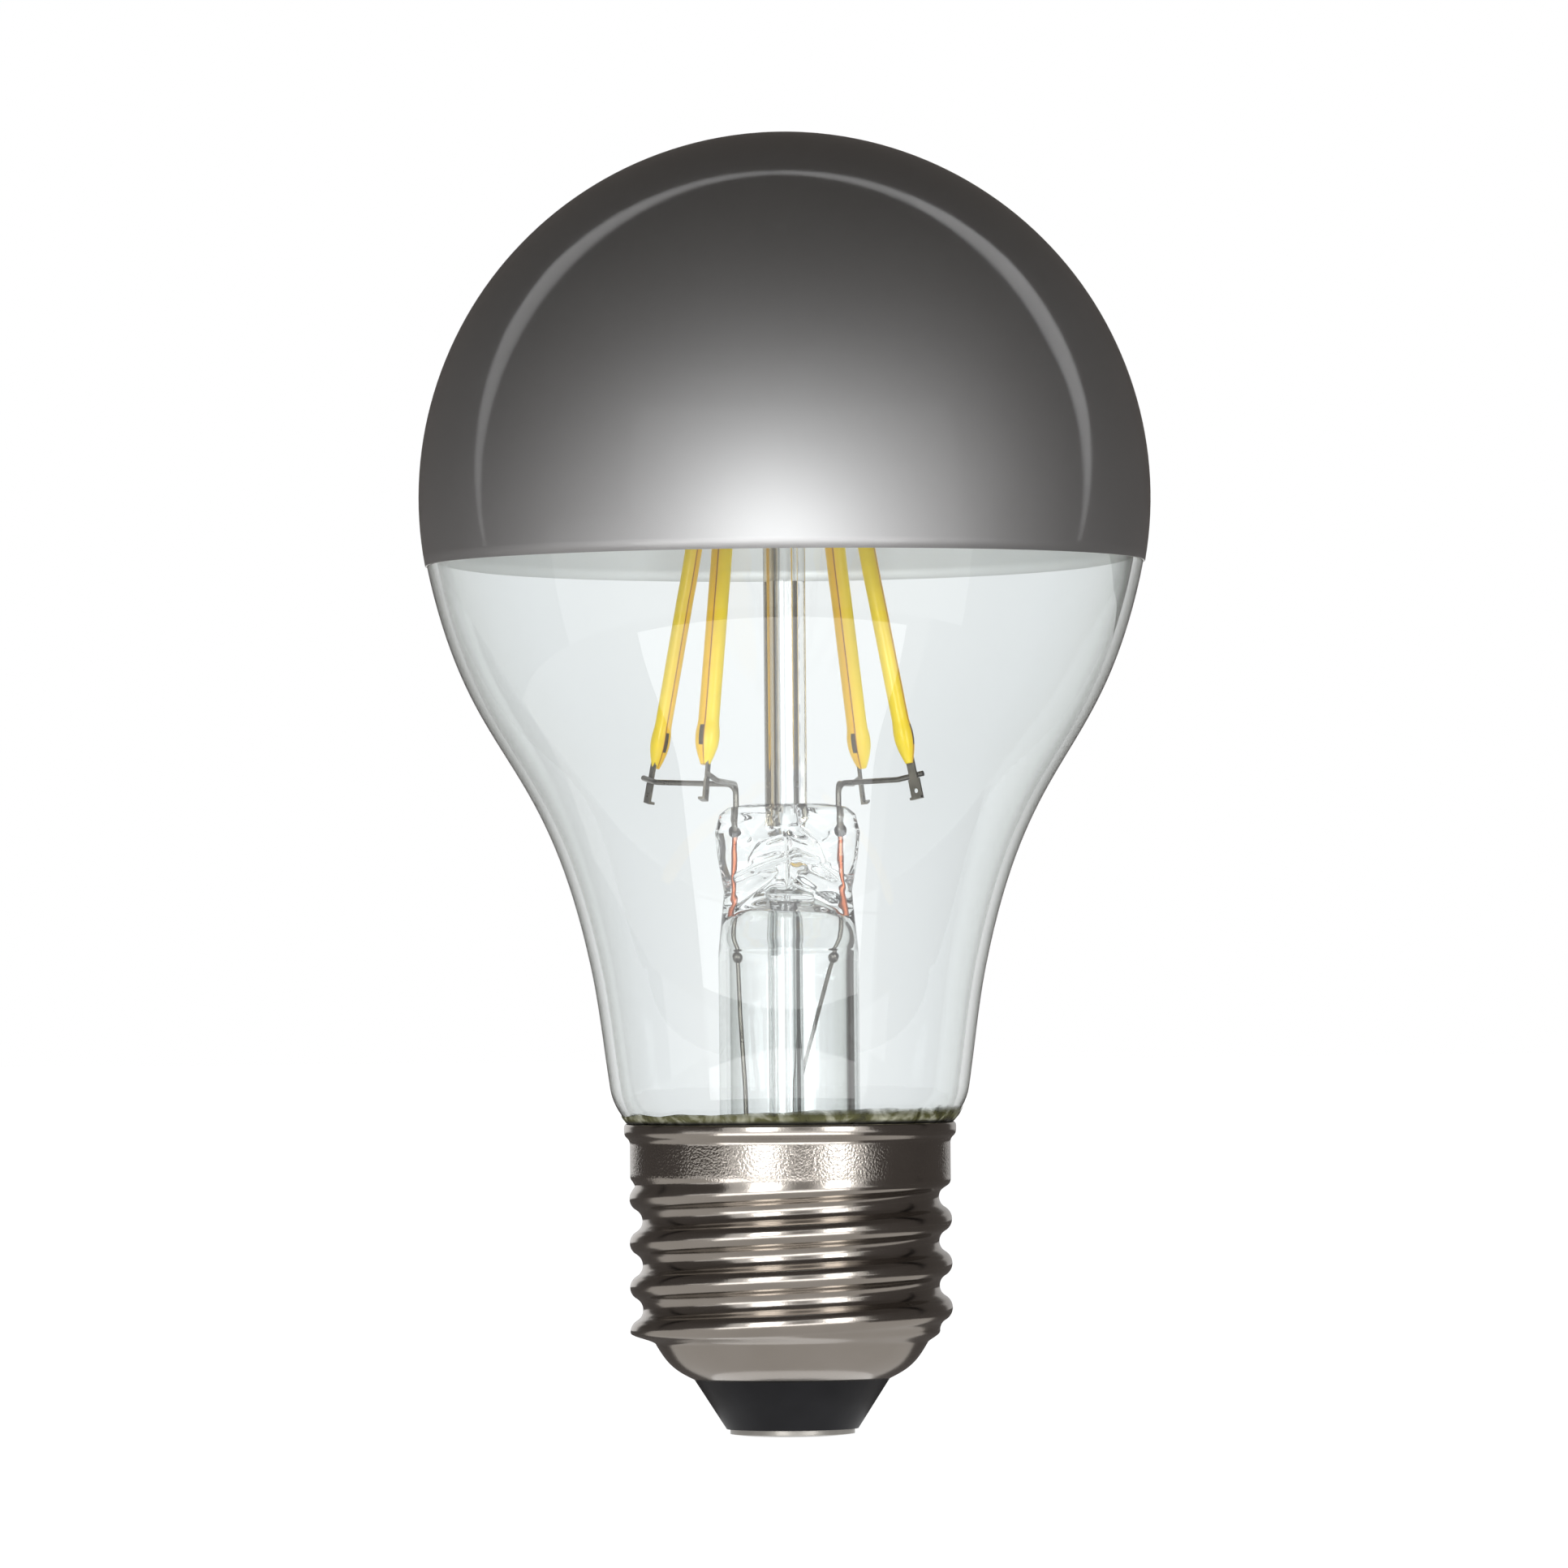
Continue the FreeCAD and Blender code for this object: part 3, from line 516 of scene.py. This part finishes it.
ROD_TINTS_AND_PAINTED_SHADE = [(0.0, (1.0, 1.0, 1.0)), (0.45, (0.98, 0.99, 0.99)), (0.7, (0.8, 0.82, 0.82)),
             (0.85, (0.45, 0.46, 0.47)), (0.97, (0.3, 0.31, 0.33))]
# Bands across the rod from its left side to its right, fixed as it is seen from the front: painted shade,
# dark near both sides, with an amber band among them.
ROD_PAINTED_SHADE_BANDS = [(0.0, (0.20, 0.20, 0.19)), (0.06, (0.56, 0.46, 0.30)), (0.20, (0.62, 0.48, 0.28)),
              (0.25, (0.50, 0.51, 0.49)), (0.31, (0.22, 0.23, 0.25)), (0.35, (1, 1, 1)), (0.84, (1, 1, 1)),
              (0.865, (0.25, 0.27, 0.36)), (0.89, (1, 1, 1))]
STEM_R = 5.75
HOLLOW_R = 4.85
HOLLOW_TOP_Z = 43.9
PRESS_Z = 39.6
PRESS_TOP_Z = 51.75

# Height, half width, half thickness and squareness of the pinch
STEM_SECTIONS = [(39.6, 5.75, 5.75, 2.0), (40.8, 5.63, 4.95, 2.0), (42.6, 5.45, 3.17, 2.2),
                 (44.6, 5.25, 1.95, 2.6), (47.4, 5.75, 1.9, 2.8), (49.4, 5.95, 1.95, 2.8),
                 (50.9, 5.6, 1.7, 2.6), (51.5, 4.9, 1.25, 2.3), (51.75, 3.6, 0.8, 2.1)]

# Both ends of each fold across and up, its width and its depth, which is negative for a groove
FOLDS = [(-4.1, 45.7, -1.5, 46.8, 0.26, 0.7), (-4.4, 43.6, -1.2, 46.2, 0.24, -0.7),
         (2.2, 46.6, 4.9, 44.5, 0.26, 0.7), (0.6, 45.2, 3.8, 43.4, 0.28, -0.63),
         (-0.1, 48.9, 0.0, 44.9, 0.1, -0.42), (-1.9, 48.9, -0.6, 49.2, 0.34, -0.7),
         (1.6, 49.9, 3.2, 48.6, 0.28, -0.7), (3.2, 48.6, 3.6, 47.1, 0.28, -0.7),
         (-1.1, 47.0, 0.6, 47.7, 0.22, 0.63), (0.6, 47.7, 2.2, 47.1, 0.22, 0.63),
         (-1.1, 44.4, 1.9, 44.3, 0.36, 0.7), (-5.0, 50.6, -3.4, 49.0, 0.3, -0.56),
         (-4.6, 51.2, -1.5, 51.0, 0.3, -0.42), (2.0, 50.8, 4.8, 50.2, 0.26, -0.49),
         (-5.2, 48.0, -4.6, 44.5, 0.3, -0.49), (-3.4, 43.0, 3.2, 42.7, 0.3, -0.56)]


def between_sections(height):
    """Half width, half thickness and squareness of the pinch at a height."""
    for (z0, *low), (z1, *high) in zip(STEM_SECTIONS, STEM_SECTIONS[1:]):
        if z0 <= height <= z1:
            share = (height - z0) / (z1 - z0)
            return [p + (q - p) * share for p, q in zip(low, high)]
    return STEM_SECTIONS[-1][1:]


def press_relief(x, height, side):
    """Folds that the jaws left in the hot glass, in millimetres, by place on one face of the press."""
    relief = 0
    for x0, z0, x1, z1, width, depth in FOLDS:
        x0, x1 = side * x0, side * x1
        along = ((x - x0) * (x1 - x0) + (height - z0) * (z1 - z0)) / ((x1 - x0) ** 2 + (z1 - z0) ** 2)
        along = min(max(along, 0), 1)
        away = math.hypot(x - x0 - along * (x1 - x0), height - z0 - along * (z1 - z0))
        relief += depth * math.exp(-(away / width) ** 2)
    relief += 0.22 * noise.noise((0.8 * x, 0.8 * height, 3.0 * side))
    return relief * ease(42.2, 43.4, height)


def stem_swell(angle, radius, height, index):
    """Round tube below, flattened bar above. The rows after the outer ones are the hollow."""
    if height <= PRESS_Z:
        return radius, height
    cosine, sine = abs(math.cos(angle)), abs(math.sin(angle))
    if index < len(stem_outer):
        width, thickness, square = between_sections(height)
        width, thickness = width * radius, thickness * radius
        r = ((cosine / width) ** square + (sine / thickness) ** square) ** (-1 / square) if radius > 0 else 0
        side = -1 if math.sin(angle) < 0 else 1
        face = ease(0.15, 0.6, sine) if radius > 0.99 else 0
        return r + face * press_relief(r * math.cos(angle), height, -side), height
    share = (height - PRESS_Z) / (HOLLOW_TOP_Z - PRESS_Z)
    width = HOLLOW_R * math.sqrt(max(1 - share ** 3, 0))
    thickness = HOLLOW_R * math.sqrt(max(1 - share, 0)) * (1 - 0.55 * share)
    return (1 / math.hypot(cosine / width, sine / thickness) if thickness > 0.01 else 0), height


stem_outer = [(11.5, 18.5), (11.5, 19.0), (11.5, 19.5)]
stem_outer += bezier_row((10.65, 19.5), (8.225, 19.5), (STEM_R, 22.525), (STEM_R, 25.0), 16)
stem_outer += [(STEM_R, 25.0 + 0.73 * step) for step in range(20)]
stem_outer += [(1.0, 39.65 + 0.12 * step) for step in range(101)]
top_edge = ((0.93, 0.02), (0.7, 0.06), (0.35, 0.08), (0.0, 0.08))
stem_outer += [(share, PRESS_TOP_Z + lift) for share, lift in top_edge]
stem_hollow = [(HOLLOW_R, HOLLOW_TOP_Z - 0.14 * step) for step in range(31)]
stem_hollow += [(HOLLOW_R, 39.0 - 0.75 * step) for step in range(20)]
stem_hollow += bezier_row((HOLLOW_R, 24.0), (HOLLOW_R, 21.525), (7.325, 18.5), (10.65, 18.5), 16)
stem = lathe("pinched_stem", stem_outer + stem_hollow, ROUND_STEPS, swell=stem_swell)
weld_poles(stem)
stem.data.materials.append(glass_material("tube_clear_glass", STEM_TINTS_AND_PAINTED_SHADE, STEM_IOR))
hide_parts("stem_glass")
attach(stem, "root")

dress("exhaust_tube", glass_material("exhaust_clear_glass", EXHAUST_TINTS_AND_PAINTED_SHADE, STEM_IOR))

rod_clear = glass_material("rod_clear_glass", ROD_TINTS_AND_PAINTED_SHADE, STEM_IOR)
tree = rod_clear.node_tree
place = object_place(tree)
axes = axes_of(tree, place)
# Painted shade: bands by place across the rod, broken up along its height on the right.
across_rod = ranged(tree, axes["X"], 0.0, 1.0, -1.83 * MM, 1.63 * MM)
wavering = calc(tree, "MULTIPLY_ADD", noise_by(tree, place, 900), 0.05, across_rod)
shade_bands = colors_by(tree, wavering, ROD_PAINTED_SHADE_BANDS)
height_only = tree.nodes.new("ShaderNodeCombineXYZ")
put_in(tree, height_only.inputs["Z"], axes["Z"])
broken_up = ranged(tree, noise_by(tree, height_only.outputs["Vector"], 700, 1), 0.0, 1.0, 0.47, 0.53)
on_right = calc(tree, "GREATER_THAN", across_rod, 0.6)
shade_bands = blend(tree, calc(tree, "MULTIPLY", broken_up, on_right), shade_bands, (1, 1, 1, 1))
rod_color = tree.nodes["Principled BSDF"].inputs["Base Color"]
put_in(tree, rod_color, blend(tree, 1.0, rod_color.links[0].from_socket, shade_bands, "MULTIPLY"))
dress("centre_rod", rod_clear)


# Filaments
# Each filament is a strip of chips under yellow phosphor in silicone, swollen near both ends
# and drawn to a tip where the stamped steel clips come out.

# Bearings of foot, head and face in degrees, the side that the light half is on, and plumpness
FILAMENTS = {"rear_left": (153.3, 154.4, 118.0, 1, 0.82), "front_left": (237.2, 226.0, 252.0, 1, 1.0),
             "rear_right": (58.9, 62.0, 76.0, -1, 1.0), "front_right": (-35.4, -43.0, -28.0, -1, 0.84)}
COAT_LENGTH = 31
COAT_TURNS = 40
FOOT_RING_R = 12.15
FOOT_Z = 54.9
HEAD_RING_R = 5.8
HEAD_Z = 85.2
HALF_COLORS = [(0.0, (1.0, 0.64, 0.006)), (0.36, (1.0, 0.6, 0.006)), (0.44, (0.95, 0.52, 0.008)),
               (0.47, (0.34, 0.12, 0.015)), (0.5, (0.36, 0.15, 0.02)), (0.53, (1.0, 0.64, 0.02)),
               (0.62, (1.0, 0.71, 0.006)), (0.98, (1.0, 0.76, 0.01))]
BURIED_STEEL = (0.07, 0.05, 0.02, 1)


def on_ring(radius, azimuth, height):
    turn = math.radians(azimuth)
    return Vector((radius * math.cos(turn), radius * math.sin(turn), height))


def coat_radius(along):
    """Drawn tip, swollen stretch and even body of the silicone coat, from either end."""
    along = min(along, COAT_LENGTH - along)
    return 0.38 + 0.6 * math.sin(math.pi / 2 * min(along / 2.3, 1)) - 0.13 * ease(2.5, 3.8, along)


def filament_coat(name, foot_azimuth, head_azimuth, face_azimuth, lit_side, plumpness):
    """Coat from foot to head, with a UV map that runs round it from the dark half and along it."""
    foot = on_ring(FOOT_RING_R, foot_azimuth, FOOT_Z)
    along = (on_ring(HEAD_RING_R, head_azimuth, HEAD_Z) - foot).normalized()
    wished = on_ring(1, face_azimuth, 0)
    across = (wished - along * wished.dot(along)).normalized()
    facing = along.cross(across)
    stations = [0.0, 0.05, 0.12, 0.2, 0.3, 0.42, 0.56, 0.7] + [0.85 + 0.2 * step for step in range(15)]
    stations += [4.2 + 1.0 * step for step in range(12)]
    stations += [COAT_LENGTH - station for station in stations[::-1]]
    verts = []
    for station in stations:
        wave = 0.012 * noise.noise((station * 1.7, face_azimuth, 0))
        centre = foot + along * station
        for turn in range(COAT_TURNS):
            angle = 2 * math.pi * turn / COAT_TURNS
            r = plumpness * coat_radius(station) + wave - 0.05 * abs(math.cos(angle)) ** 8
            verts.append((centre + across * (r * math.cos(angle)) + facing * (r * math.sin(angle))) * MM)
    faces = []
    last_ring = (len(stations) - 1) * COAT_TURNS
    for low in range(0, last_ring, COAT_TURNS):
        high = low + COAT_TURNS
        for turn in range(COAT_TURNS):
            following = (turn + 1) % COAT_TURNS
            faces.append((low + turn, low + following, high + following, high + turn))
    faces += [tuple(range(COAT_TURNS))[::-1], tuple(range(last_ring, last_ring + COAT_TURNS))]
    coat = smooth_piece(name, verts, faces)
    wrap = coat.data.uv_layers.new(name="wrap")
    for loop in coat.data.loops:
        ring, turn = divmod(loop.vertex_index, COAT_TURNS)
        around = lit_side * math.sin(2 * math.pi * turn / COAT_TURNS)
        wrap.data[loop.index].uv = (0.5 + 0.5 * around, stations[ring] / COAT_LENGTH)
    return coat


phosphor, tree, finish = new_material("yellow_phosphor")
finish["Roughness"].default_value = 0.28
finish["Specular IOR Level"].default_value = 0.4
places = tree.nodes.new("ShaderNodeTexCoord").outputs
wrap = axes_of(tree, places["UV"])
beside_line = calc(tree, "COMPARE", wrap["X"], 0.37, 0.1)
above_tip = calc(tree, "COMPARE", wrap["Y"], 0.075, 0.027)
clip_end = calc(tree, "MULTIPLY", beside_line, above_tip)
coat_color = blend(tree, clip_end, colors_by(tree, wrap["X"], HALF_COLORS), BURIED_STEEL)
powder = mottled(tree, places["Object"], 900, 4, low=0.88, high=1.08)
put_in(tree, finish["Base Color"], blend(tree, 1.0, coat_color, powder["Level"], "MULTIPLY"))
for name, layout in FILAMENTS.items():
    coat = filament_coat(f"phosphor_coat_{name}", *layout)
    coat.data.materials.append(phosphor)
    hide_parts(f"filament_phosphor_{name}")
    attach(coat, "root")


def flecked_solid(name, dark, light, scale):
    """Half-matt pale ceramic or laminate with fine flecks."""
    material, tree, finish = new_material(name)
    finish["Roughness"].default_value = 0.5
    flecks = mottled(tree, object_place(tree), scale, dark=dark, light=light)
    put_in(tree, finish["Base Color"], flecks["Color"])
    return material


clip_steel = mottled_metal("clip_steel", (0.05, 0.045, 0.035), (0.24, 0.22, 0.18), 0.25, 0.45, 900)
strip_ceramic = flecked_solid("strip_ceramic", (0.62, 0.58, 0.46), (0.86, 0.84, 0.76), 900)
for name in FILAMENTS:
    dress(f"filament_lower_tab_{name}", clip_steel)
    dress(f"filament_upper_tab_{name}", clip_steel)
    dress(f"filament_strip_{name}", strip_ceramic)


# Wires
# Nickel leads are welded across the clips. Copper-clad wire seals into the pinched glass, with
# a weld knot above and below it, and thin outer leads run on down to the cap.

WELD_Z = 49.0
WELD_GREY = (0.05, 0.045, 0.04, 1)
COPPER_PAINTED_EDGE_SHADE = (0.16, 0.012, 0.006, 1)

lead_nickel = mottled_metal("lead_nickel", (0.06, 0.055, 0.045), (0.28, 0.265, 0.235), 0.2, 0.4, 700)
dumet_copper = mottled_metal("dumet_copper", (0.30, 0.06, 0.025), (0.72, 0.24, 0.11), 0.2, 0.4, 900)
tree = dumet_copper.node_tree
# Painted shade: the copper turns dark red as the wire turns from the eye.
edge = tree.nodes.new("ShaderNodeLayerWeight")
edge.inputs["Blend"].default_value = 0.5
wire_color = tree.nodes["Principled BSDF"].inputs["Base Color"]
edge_shaded = blend(tree, edge.outputs["Facing"], wire_color.links[0].from_socket, COPPER_PAINTED_EDGE_SHADE)
knot = ranged(tree, axes_of(tree, object_place(tree))["Z"], 0.0, 1.0, WELD_Z * MM, (WELD_Z + 0.1) * MM)
put_in(tree, wire_color, blend(tree, knot, edge_shaded, WELD_GREY))
for name in FILAMENTS:
    dress(f"inner_lead_{name}", lead_nickel)
for name in ("front", "rear"):
    dress(f"top_wire_{name}", lead_nickel)
for name in ("left", "right"):
    dress(f"dumet_wire_{name}", dumet_copper)
    dress(f"outer_lead_{name}", lead_nickel)


# Driver board in the cap
# A round laminate board in the cap carries the rectifier, driver chip, capacitor and fuse
# resistor. Hooked wires join it to the contact and the shell.

dress("driver_board", flecked_solid("board_laminate", (0.60, 0.58, 0.45), (0.78, 0.76, 0.64), 600))
dress("bridge_rectifier", black_glass)
dress("driver_chip", black_glass)
dress("smoothing_capacitor", black_glass)
dress("fuse_resistor", cement)
dress("contact_lead", lead_nickel)
dress("shell_lead", lead_nickel)


# Floor, studio and camera
# A pale floor under a white surround. Soft boxes and rim lights serve the cap and the parts in
# the glass, and a key the mirror coat. Only metal and glass show the dark and grey cards.

FLAG_AT = 0.7
FLAG_STEP = 0.1
FLAG_TOP = 1.2
SIDE_FLAGS = (("left", -180, -48), ("right", 55, 180))
FLAGS_IN_GLASS = (("left", -126, -58), ("right", 58, 152))
CEILING_AT = 0.8
CEILING_RINGS = 8
CARD_STEPS = 24
CAP_RING = (0.0085, 0.033)
NEAR_RING = (0.033, 0.14)
FAR_RING = (0.14, 0.9)
TABLE_Z = 0.0004


def white_to_the_eye(tree, strength, other):
    """Strength where the camera, metal or glass look, and another where light only spreads."""
    path = tree.nodes.new("ShaderNodeLightPath").outputs
    seen = calc(tree, "MAXIMUM", path["Is Camera Ray"], path["Is Glossy Ray"])
    seen = calc(tree, "MAXIMUM", seen, path["Is Transmission Ray"])
    return ranged(tree, seen, other, strength)


def stage_piece(name, verts, faces, material):
    mesh = bpy.data.meshes.new(name)
    mesh.from_pydata(verts, [], faces)
    piece = bpy.data.objects.new(name, mesh)
    piece.data.materials.append(material)
    bpy.context.scene.collection.objects.link(piece)
    return piece


floor_white, tree, finish = new_material("floor_white")
finish["Base Color"].default_value = (0.9, 0.9, 0.9, 1)
finish["Roughness"].default_value = 0.9
finish["Specular IOR Level"].default_value = 0.0
glow = tree.nodes.new("ShaderNodeEmission")
put_in(tree, glow.inputs["Strength"], white_to_the_eye(tree, 1.1, 0.8))
mix = tree.nodes.new("ShaderNodeMixShader")
mix.inputs[0].default_value = 0.12
put_in(tree, mix.inputs[1], glow.outputs["Emission"])
put_in(tree, mix.inputs[2], tree.nodes["Principled BSDF"].outputs["BSDF"])
put_in(tree, tree.nodes["Material Output"].inputs["Surface"], mix.outputs["Shader"])
floor = stage_piece("floor", [(-6, -6, 0), (6, -6, 0), (6, 6, 0), (-6, 6, 0)], [(0, 1, 2, 3)], floor_white)

world = bpy.data.worlds.new("studio_white")
world.use_nodes = True
bpy.context.scene.world = world
surround = world.node_tree.nodes["Background"]
surround.inputs["Color"].default_value = (1, 1, 1, 1)
put_in(world.node_tree, surround.inputs["Strength"], white_to_the_eye(world.node_tree, 1.0, 0.75))


def reflection_card(name, verts, faces, material):
    """A card that shows in reflections, unless its caller lets glass show it too."""
    card = stage_piece(name, verts, faces, material)
    card.visible_camera = False
    card.visible_diffuse = False
    card.visible_transmission = False
    card.visible_shadow = False
    card.visible_volume_scatter = False
    return card


def card_material(name, color, strength=1.0):
    material = bpy.data.materials.new(name)
    material.use_nodes = True
    tree = material.node_tree
    tree.nodes.remove(tree.nodes["Principled BSDF"])
    glow = tree.nodes.new("ShaderNodeEmission")
    glow.inputs["Color"].default_value = (*color, 1)
    glow.inputs["Strength"].default_value = strength
    put_in(tree, tree.nodes["Material Output"].inputs["Surface"], glow.outputs["Emission"])
    return material


def curved_card(name, start, end, low, high, radius, material):
    """Upright card bent round the lamp between two azimuths, 0 towards the camera."""
    verts = []
    for step in range(CARD_STEPS + 1):
        angle = math.radians(start + (end - start) * step / CARD_STEPS)
        x, y = radius * math.sin(angle), -radius * math.cos(angle)
        verts += [(x, y, low), (x, y, high)]
    faces = [(a, a + 2, a + 3, a + 1) for a in range(0, 2 * CARD_STEPS, 2)]
    return reflection_card(name, verts, faces, material)


flag_black = card_material("flag_black", (0.085, 0.076, 0.07))
flag_dark = card_material("flag_dark", (0.1, 0.09, 0.085))
flag_grey = card_material("flag_grey", (0.62, 0.60, 0.58))
for name, start, end in SIDE_FLAGS:
    curved_card(f"flag_{name}_low", start, end, 0.0, FLAG_STEP, FLAG_AT, flag_dark)
for name, start, end in SIDE_FLAGS:
    curved_card(f"flag_{name}_high", start, end, FLAG_STEP, FLAG_TOP, FLAG_AT, flag_black)
curved_card("flag_middle", 0, 16, 0.0, 0.3, 0.72, card_material("flag_half", (0.4, 0.39, 0.38)))
for name, start, end in FLAGS_IN_GLASS:
    seen_through = curved_card(f"flag_{name}_glass", start, end, 0.0, FLAG_TOP, 0.69, flag_dark)
    seen_through.visible_transmission = True

verts, faces = [], []
for ring in range(CEILING_RINGS):
    tilt = math.radians(25 + 64 * ring / (CEILING_RINGS - 1))
    reach = CEILING_AT * math.cos(tilt)
    for turn in range(CARD_STEPS):
        angle = 2 * math.pi * turn / CARD_STEPS
        verts.append((reach * math.cos(angle), reach * math.sin(angle), 0.07 + CEILING_AT * math.sin(tilt)))
for low in range(0, (CEILING_RINGS - 1) * CARD_STEPS, CARD_STEPS):
    high = low + CARD_STEPS
    for turn in range(CARD_STEPS):
        following = (turn + 1) % CARD_STEPS
        faces.append((low + turn, low + following, high + following, high + turn))
reflection_card("flag_ceiling", verts, faces, flag_black)


def table_card(name, radii, start, end, height, material):
    """Flat sector on the table between two radii and two azimuths, 0 towards the camera."""
    turns = [math.radians(start + (end - start) * step / CARD_STEPS) for step in range(CARD_STEPS + 1)]
    verts = []
    for radius in radii:
        verts += [(radius * math.sin(turn), -radius * math.cos(turn), height) for turn in turns]
    faces = [(a, a + 1, a + CARD_STEPS + 2, a + CARD_STEPS + 1) for a in range(CARD_STEPS)]
    return reflection_card(name, verts, faces, material)


table_card("table_at_cap", CAP_RING, -110, 110, TABLE_Z, flag_grey)
table_card("table_behind_cap", CAP_RING, 110, 250, TABLE_Z, flag_dark)
table_card("table_near_front", NEAR_RING, -115, 48, TABLE_Z, flag_grey)
table_card("table_near_back", NEAR_RING, 48, 245, TABLE_Z, flag_dark)
table_card("table_far_back", FAR_RING, 60, 282, 0.0005, flag_dark)
table_card("table_light", (0.05, 0.128), -50, 40, 0.001, card_material("light_card", (1, 1, 1), 3.5))


def link_group(name, pieces, state="INCLUDE"):
    """Collection that tells a light which pieces it lights, or which it leaves out."""
    group = bpy.data.collections.new(name)
    for piece in pieces:
        group.objects.link(piece)
    for member in group.collection_objects:
        member.light_linking.link_state = state
    return group


# Bearing on the globe, share of its radius, half width and strength of the two crescents
ARC = [(-12, 0.80, 0.002, 3.8), (0, 0.81, 0.009, 4.3), (14, 0.822, 0.017, 4.8), (30, 0.828, 0.023, 4.8),
       (46, 0.838, 0.022, 4.5), (65, 0.845, 0.013, 4.0), (90, 0.848, 0.005, 3.2), (107, 0.850, 0.009, 3.2),
       (122, 0.848, 0.016, 3.4), (135, 0.846, 0.022, 3.4), (150, 0.838, 0.021, 3.4), (168, 0.826, 0.013, 3.2),
       (180, 0.820, 0.007, 2.8), (193, 0.816, 0.002, 2.4)]
ARC_STEPS = 6
EYE = Vector((-0.00025, -0.85, 0.035))


def mirrored(azimuth, radius):
    """Place half a metre away that the eye sees in the globe at a share of its radius."""
    x, z = radius * math.cos(azimuth), radius * math.sin(azimuth)
    normal = Vector((x, -math.sqrt(1 - x * x - z * z), z))
    point = Vector((0, 0, GLOBE_Z * MM)) + normal * LACQUER_OUTER_R * MM
    look = (EYE - point).normalized()
    return point + 0.5 * (2 * look.dot(normal) * normal - look)


only_on_lacquer = link_group("only_on_lacquer", [lacquer])
for index, ((az0, at0, wide0, glow0), (az1, at1, wide1, glow1)) in enumerate(zip(ARC, ARC[1:])):
    verts = []
    for step in range(ARC_STEPS + 1):
        share = step / ARC_STEPS
        azimuth = math.radians(az0 + share * (az1 - az0))
        at = at0 + share * (at1 - at0)
        half = wide0 + share * (wide1 - wide0)
        verts += [mirrored(azimuth, at - half), mirrored(azimuth, at + half)]
    faces = [(a, a + 2, a + 3, a + 1) for a in range(0, 2 * ARC_STEPS, 2)]
    arc_glow = card_material(f"arc_glow_{index}", (1, 1, 1), (glow0 + glow1) / 2)
    arc_light = reflection_card(f"arc_light_{index}", verts, faces, arc_glow)
    arc_light.light_linking.receiver_collection = only_on_lacquer


def soft_box(name, azimuth, elevation, distance, width, height, power, target):
    """Rectangular lamp that looks at its target from an azimuth and elevation, 0 towards the camera."""
    lamp = bpy.data.lights.new(name, "AREA")
    lamp.shape = "RECTANGLE"
    lamp.size = width
    lamp.size_y = height
    lamp.energy = power
    lamp_object = bpy.data.objects.new(name, lamp)
    turn = math.radians(azimuth)
    rise = math.radians(elevation)
    away = Vector((math.sin(turn) * math.cos(rise), -math.cos(turn) * math.cos(rise), math.sin(rise)))
    lamp_object.location = Vector(target) + away * distance
    lamp_object.rotation_euler = away.to_track_quat("Z", "Y").to_euler()
    lamp_object.visible_camera = False
    bpy.context.scene.collection.objects.link(lamp_object)
    return lamp_object


left_box = soft_box("soft_box_left", -19, 9, 0.6, 0.21, 0.30, 1.3, (0, 0, 0.04))
right_box = soft_box("soft_box_right", 34, 9, 0.6, 0.19, 0.30, 1.1, (0, 0, 0.04))
not_on_crown = link_group("not_on_crown", [crown, lacquer], "EXCLUDE")
left_box.light_linking.receiver_collection = not_on_crown
right_box.light_linking.receiver_collection = not_on_crown
only_on_cap = link_group("only_on_cap", [cap])
for name, azimuth, power in (("rim_light_left", -160, 0.22), ("rim_light_right", 162, 0.12)):
    rim_light = soft_box(name, azimuth, 3, 0.6, 0.3, 0.3, power, (0, 0, 0.02))
    rim_light.light_linking.receiver_collection = only_on_cap
key = soft_box("crown_key", -2.4, -15, 0.27, 0.1, 0.1, 0.55, (0, -0.03, 0.0716))
key.data.shape = "ELLIPSE"
key.data.color = (0.96, 1.0, 1.01)
key.light_linking.receiver_collection = link_group("only_on_crown", [crown])
key.light_linking.blocker_collection = link_group("not_the_floor", [floor, lacquer], "EXCLUDE")

AIM = Vector((-0.00025, 0, 0.05335))
CAMERA_ROLL = -0.5
camera = bpy.data.cameras.new("long_lens")
camera.sensor_width = 36
camera.lens = 238.2
camera_object = bpy.data.objects.new("long_lens", camera)
camera_object.location = EYE
level_view = (AIM - EYE).to_track_quat("-Z", "Y").to_matrix()
camera_object.rotation_euler = (level_view @ Matrix.Rotation(math.radians(CAMERA_ROLL), 3, "Z")).to_euler()
bpy.context.scene.collection.objects.link(camera_object)
bpy.context.scene.camera = camera_object
bpy.context.scene.view_settings.view_transform = "Standard"
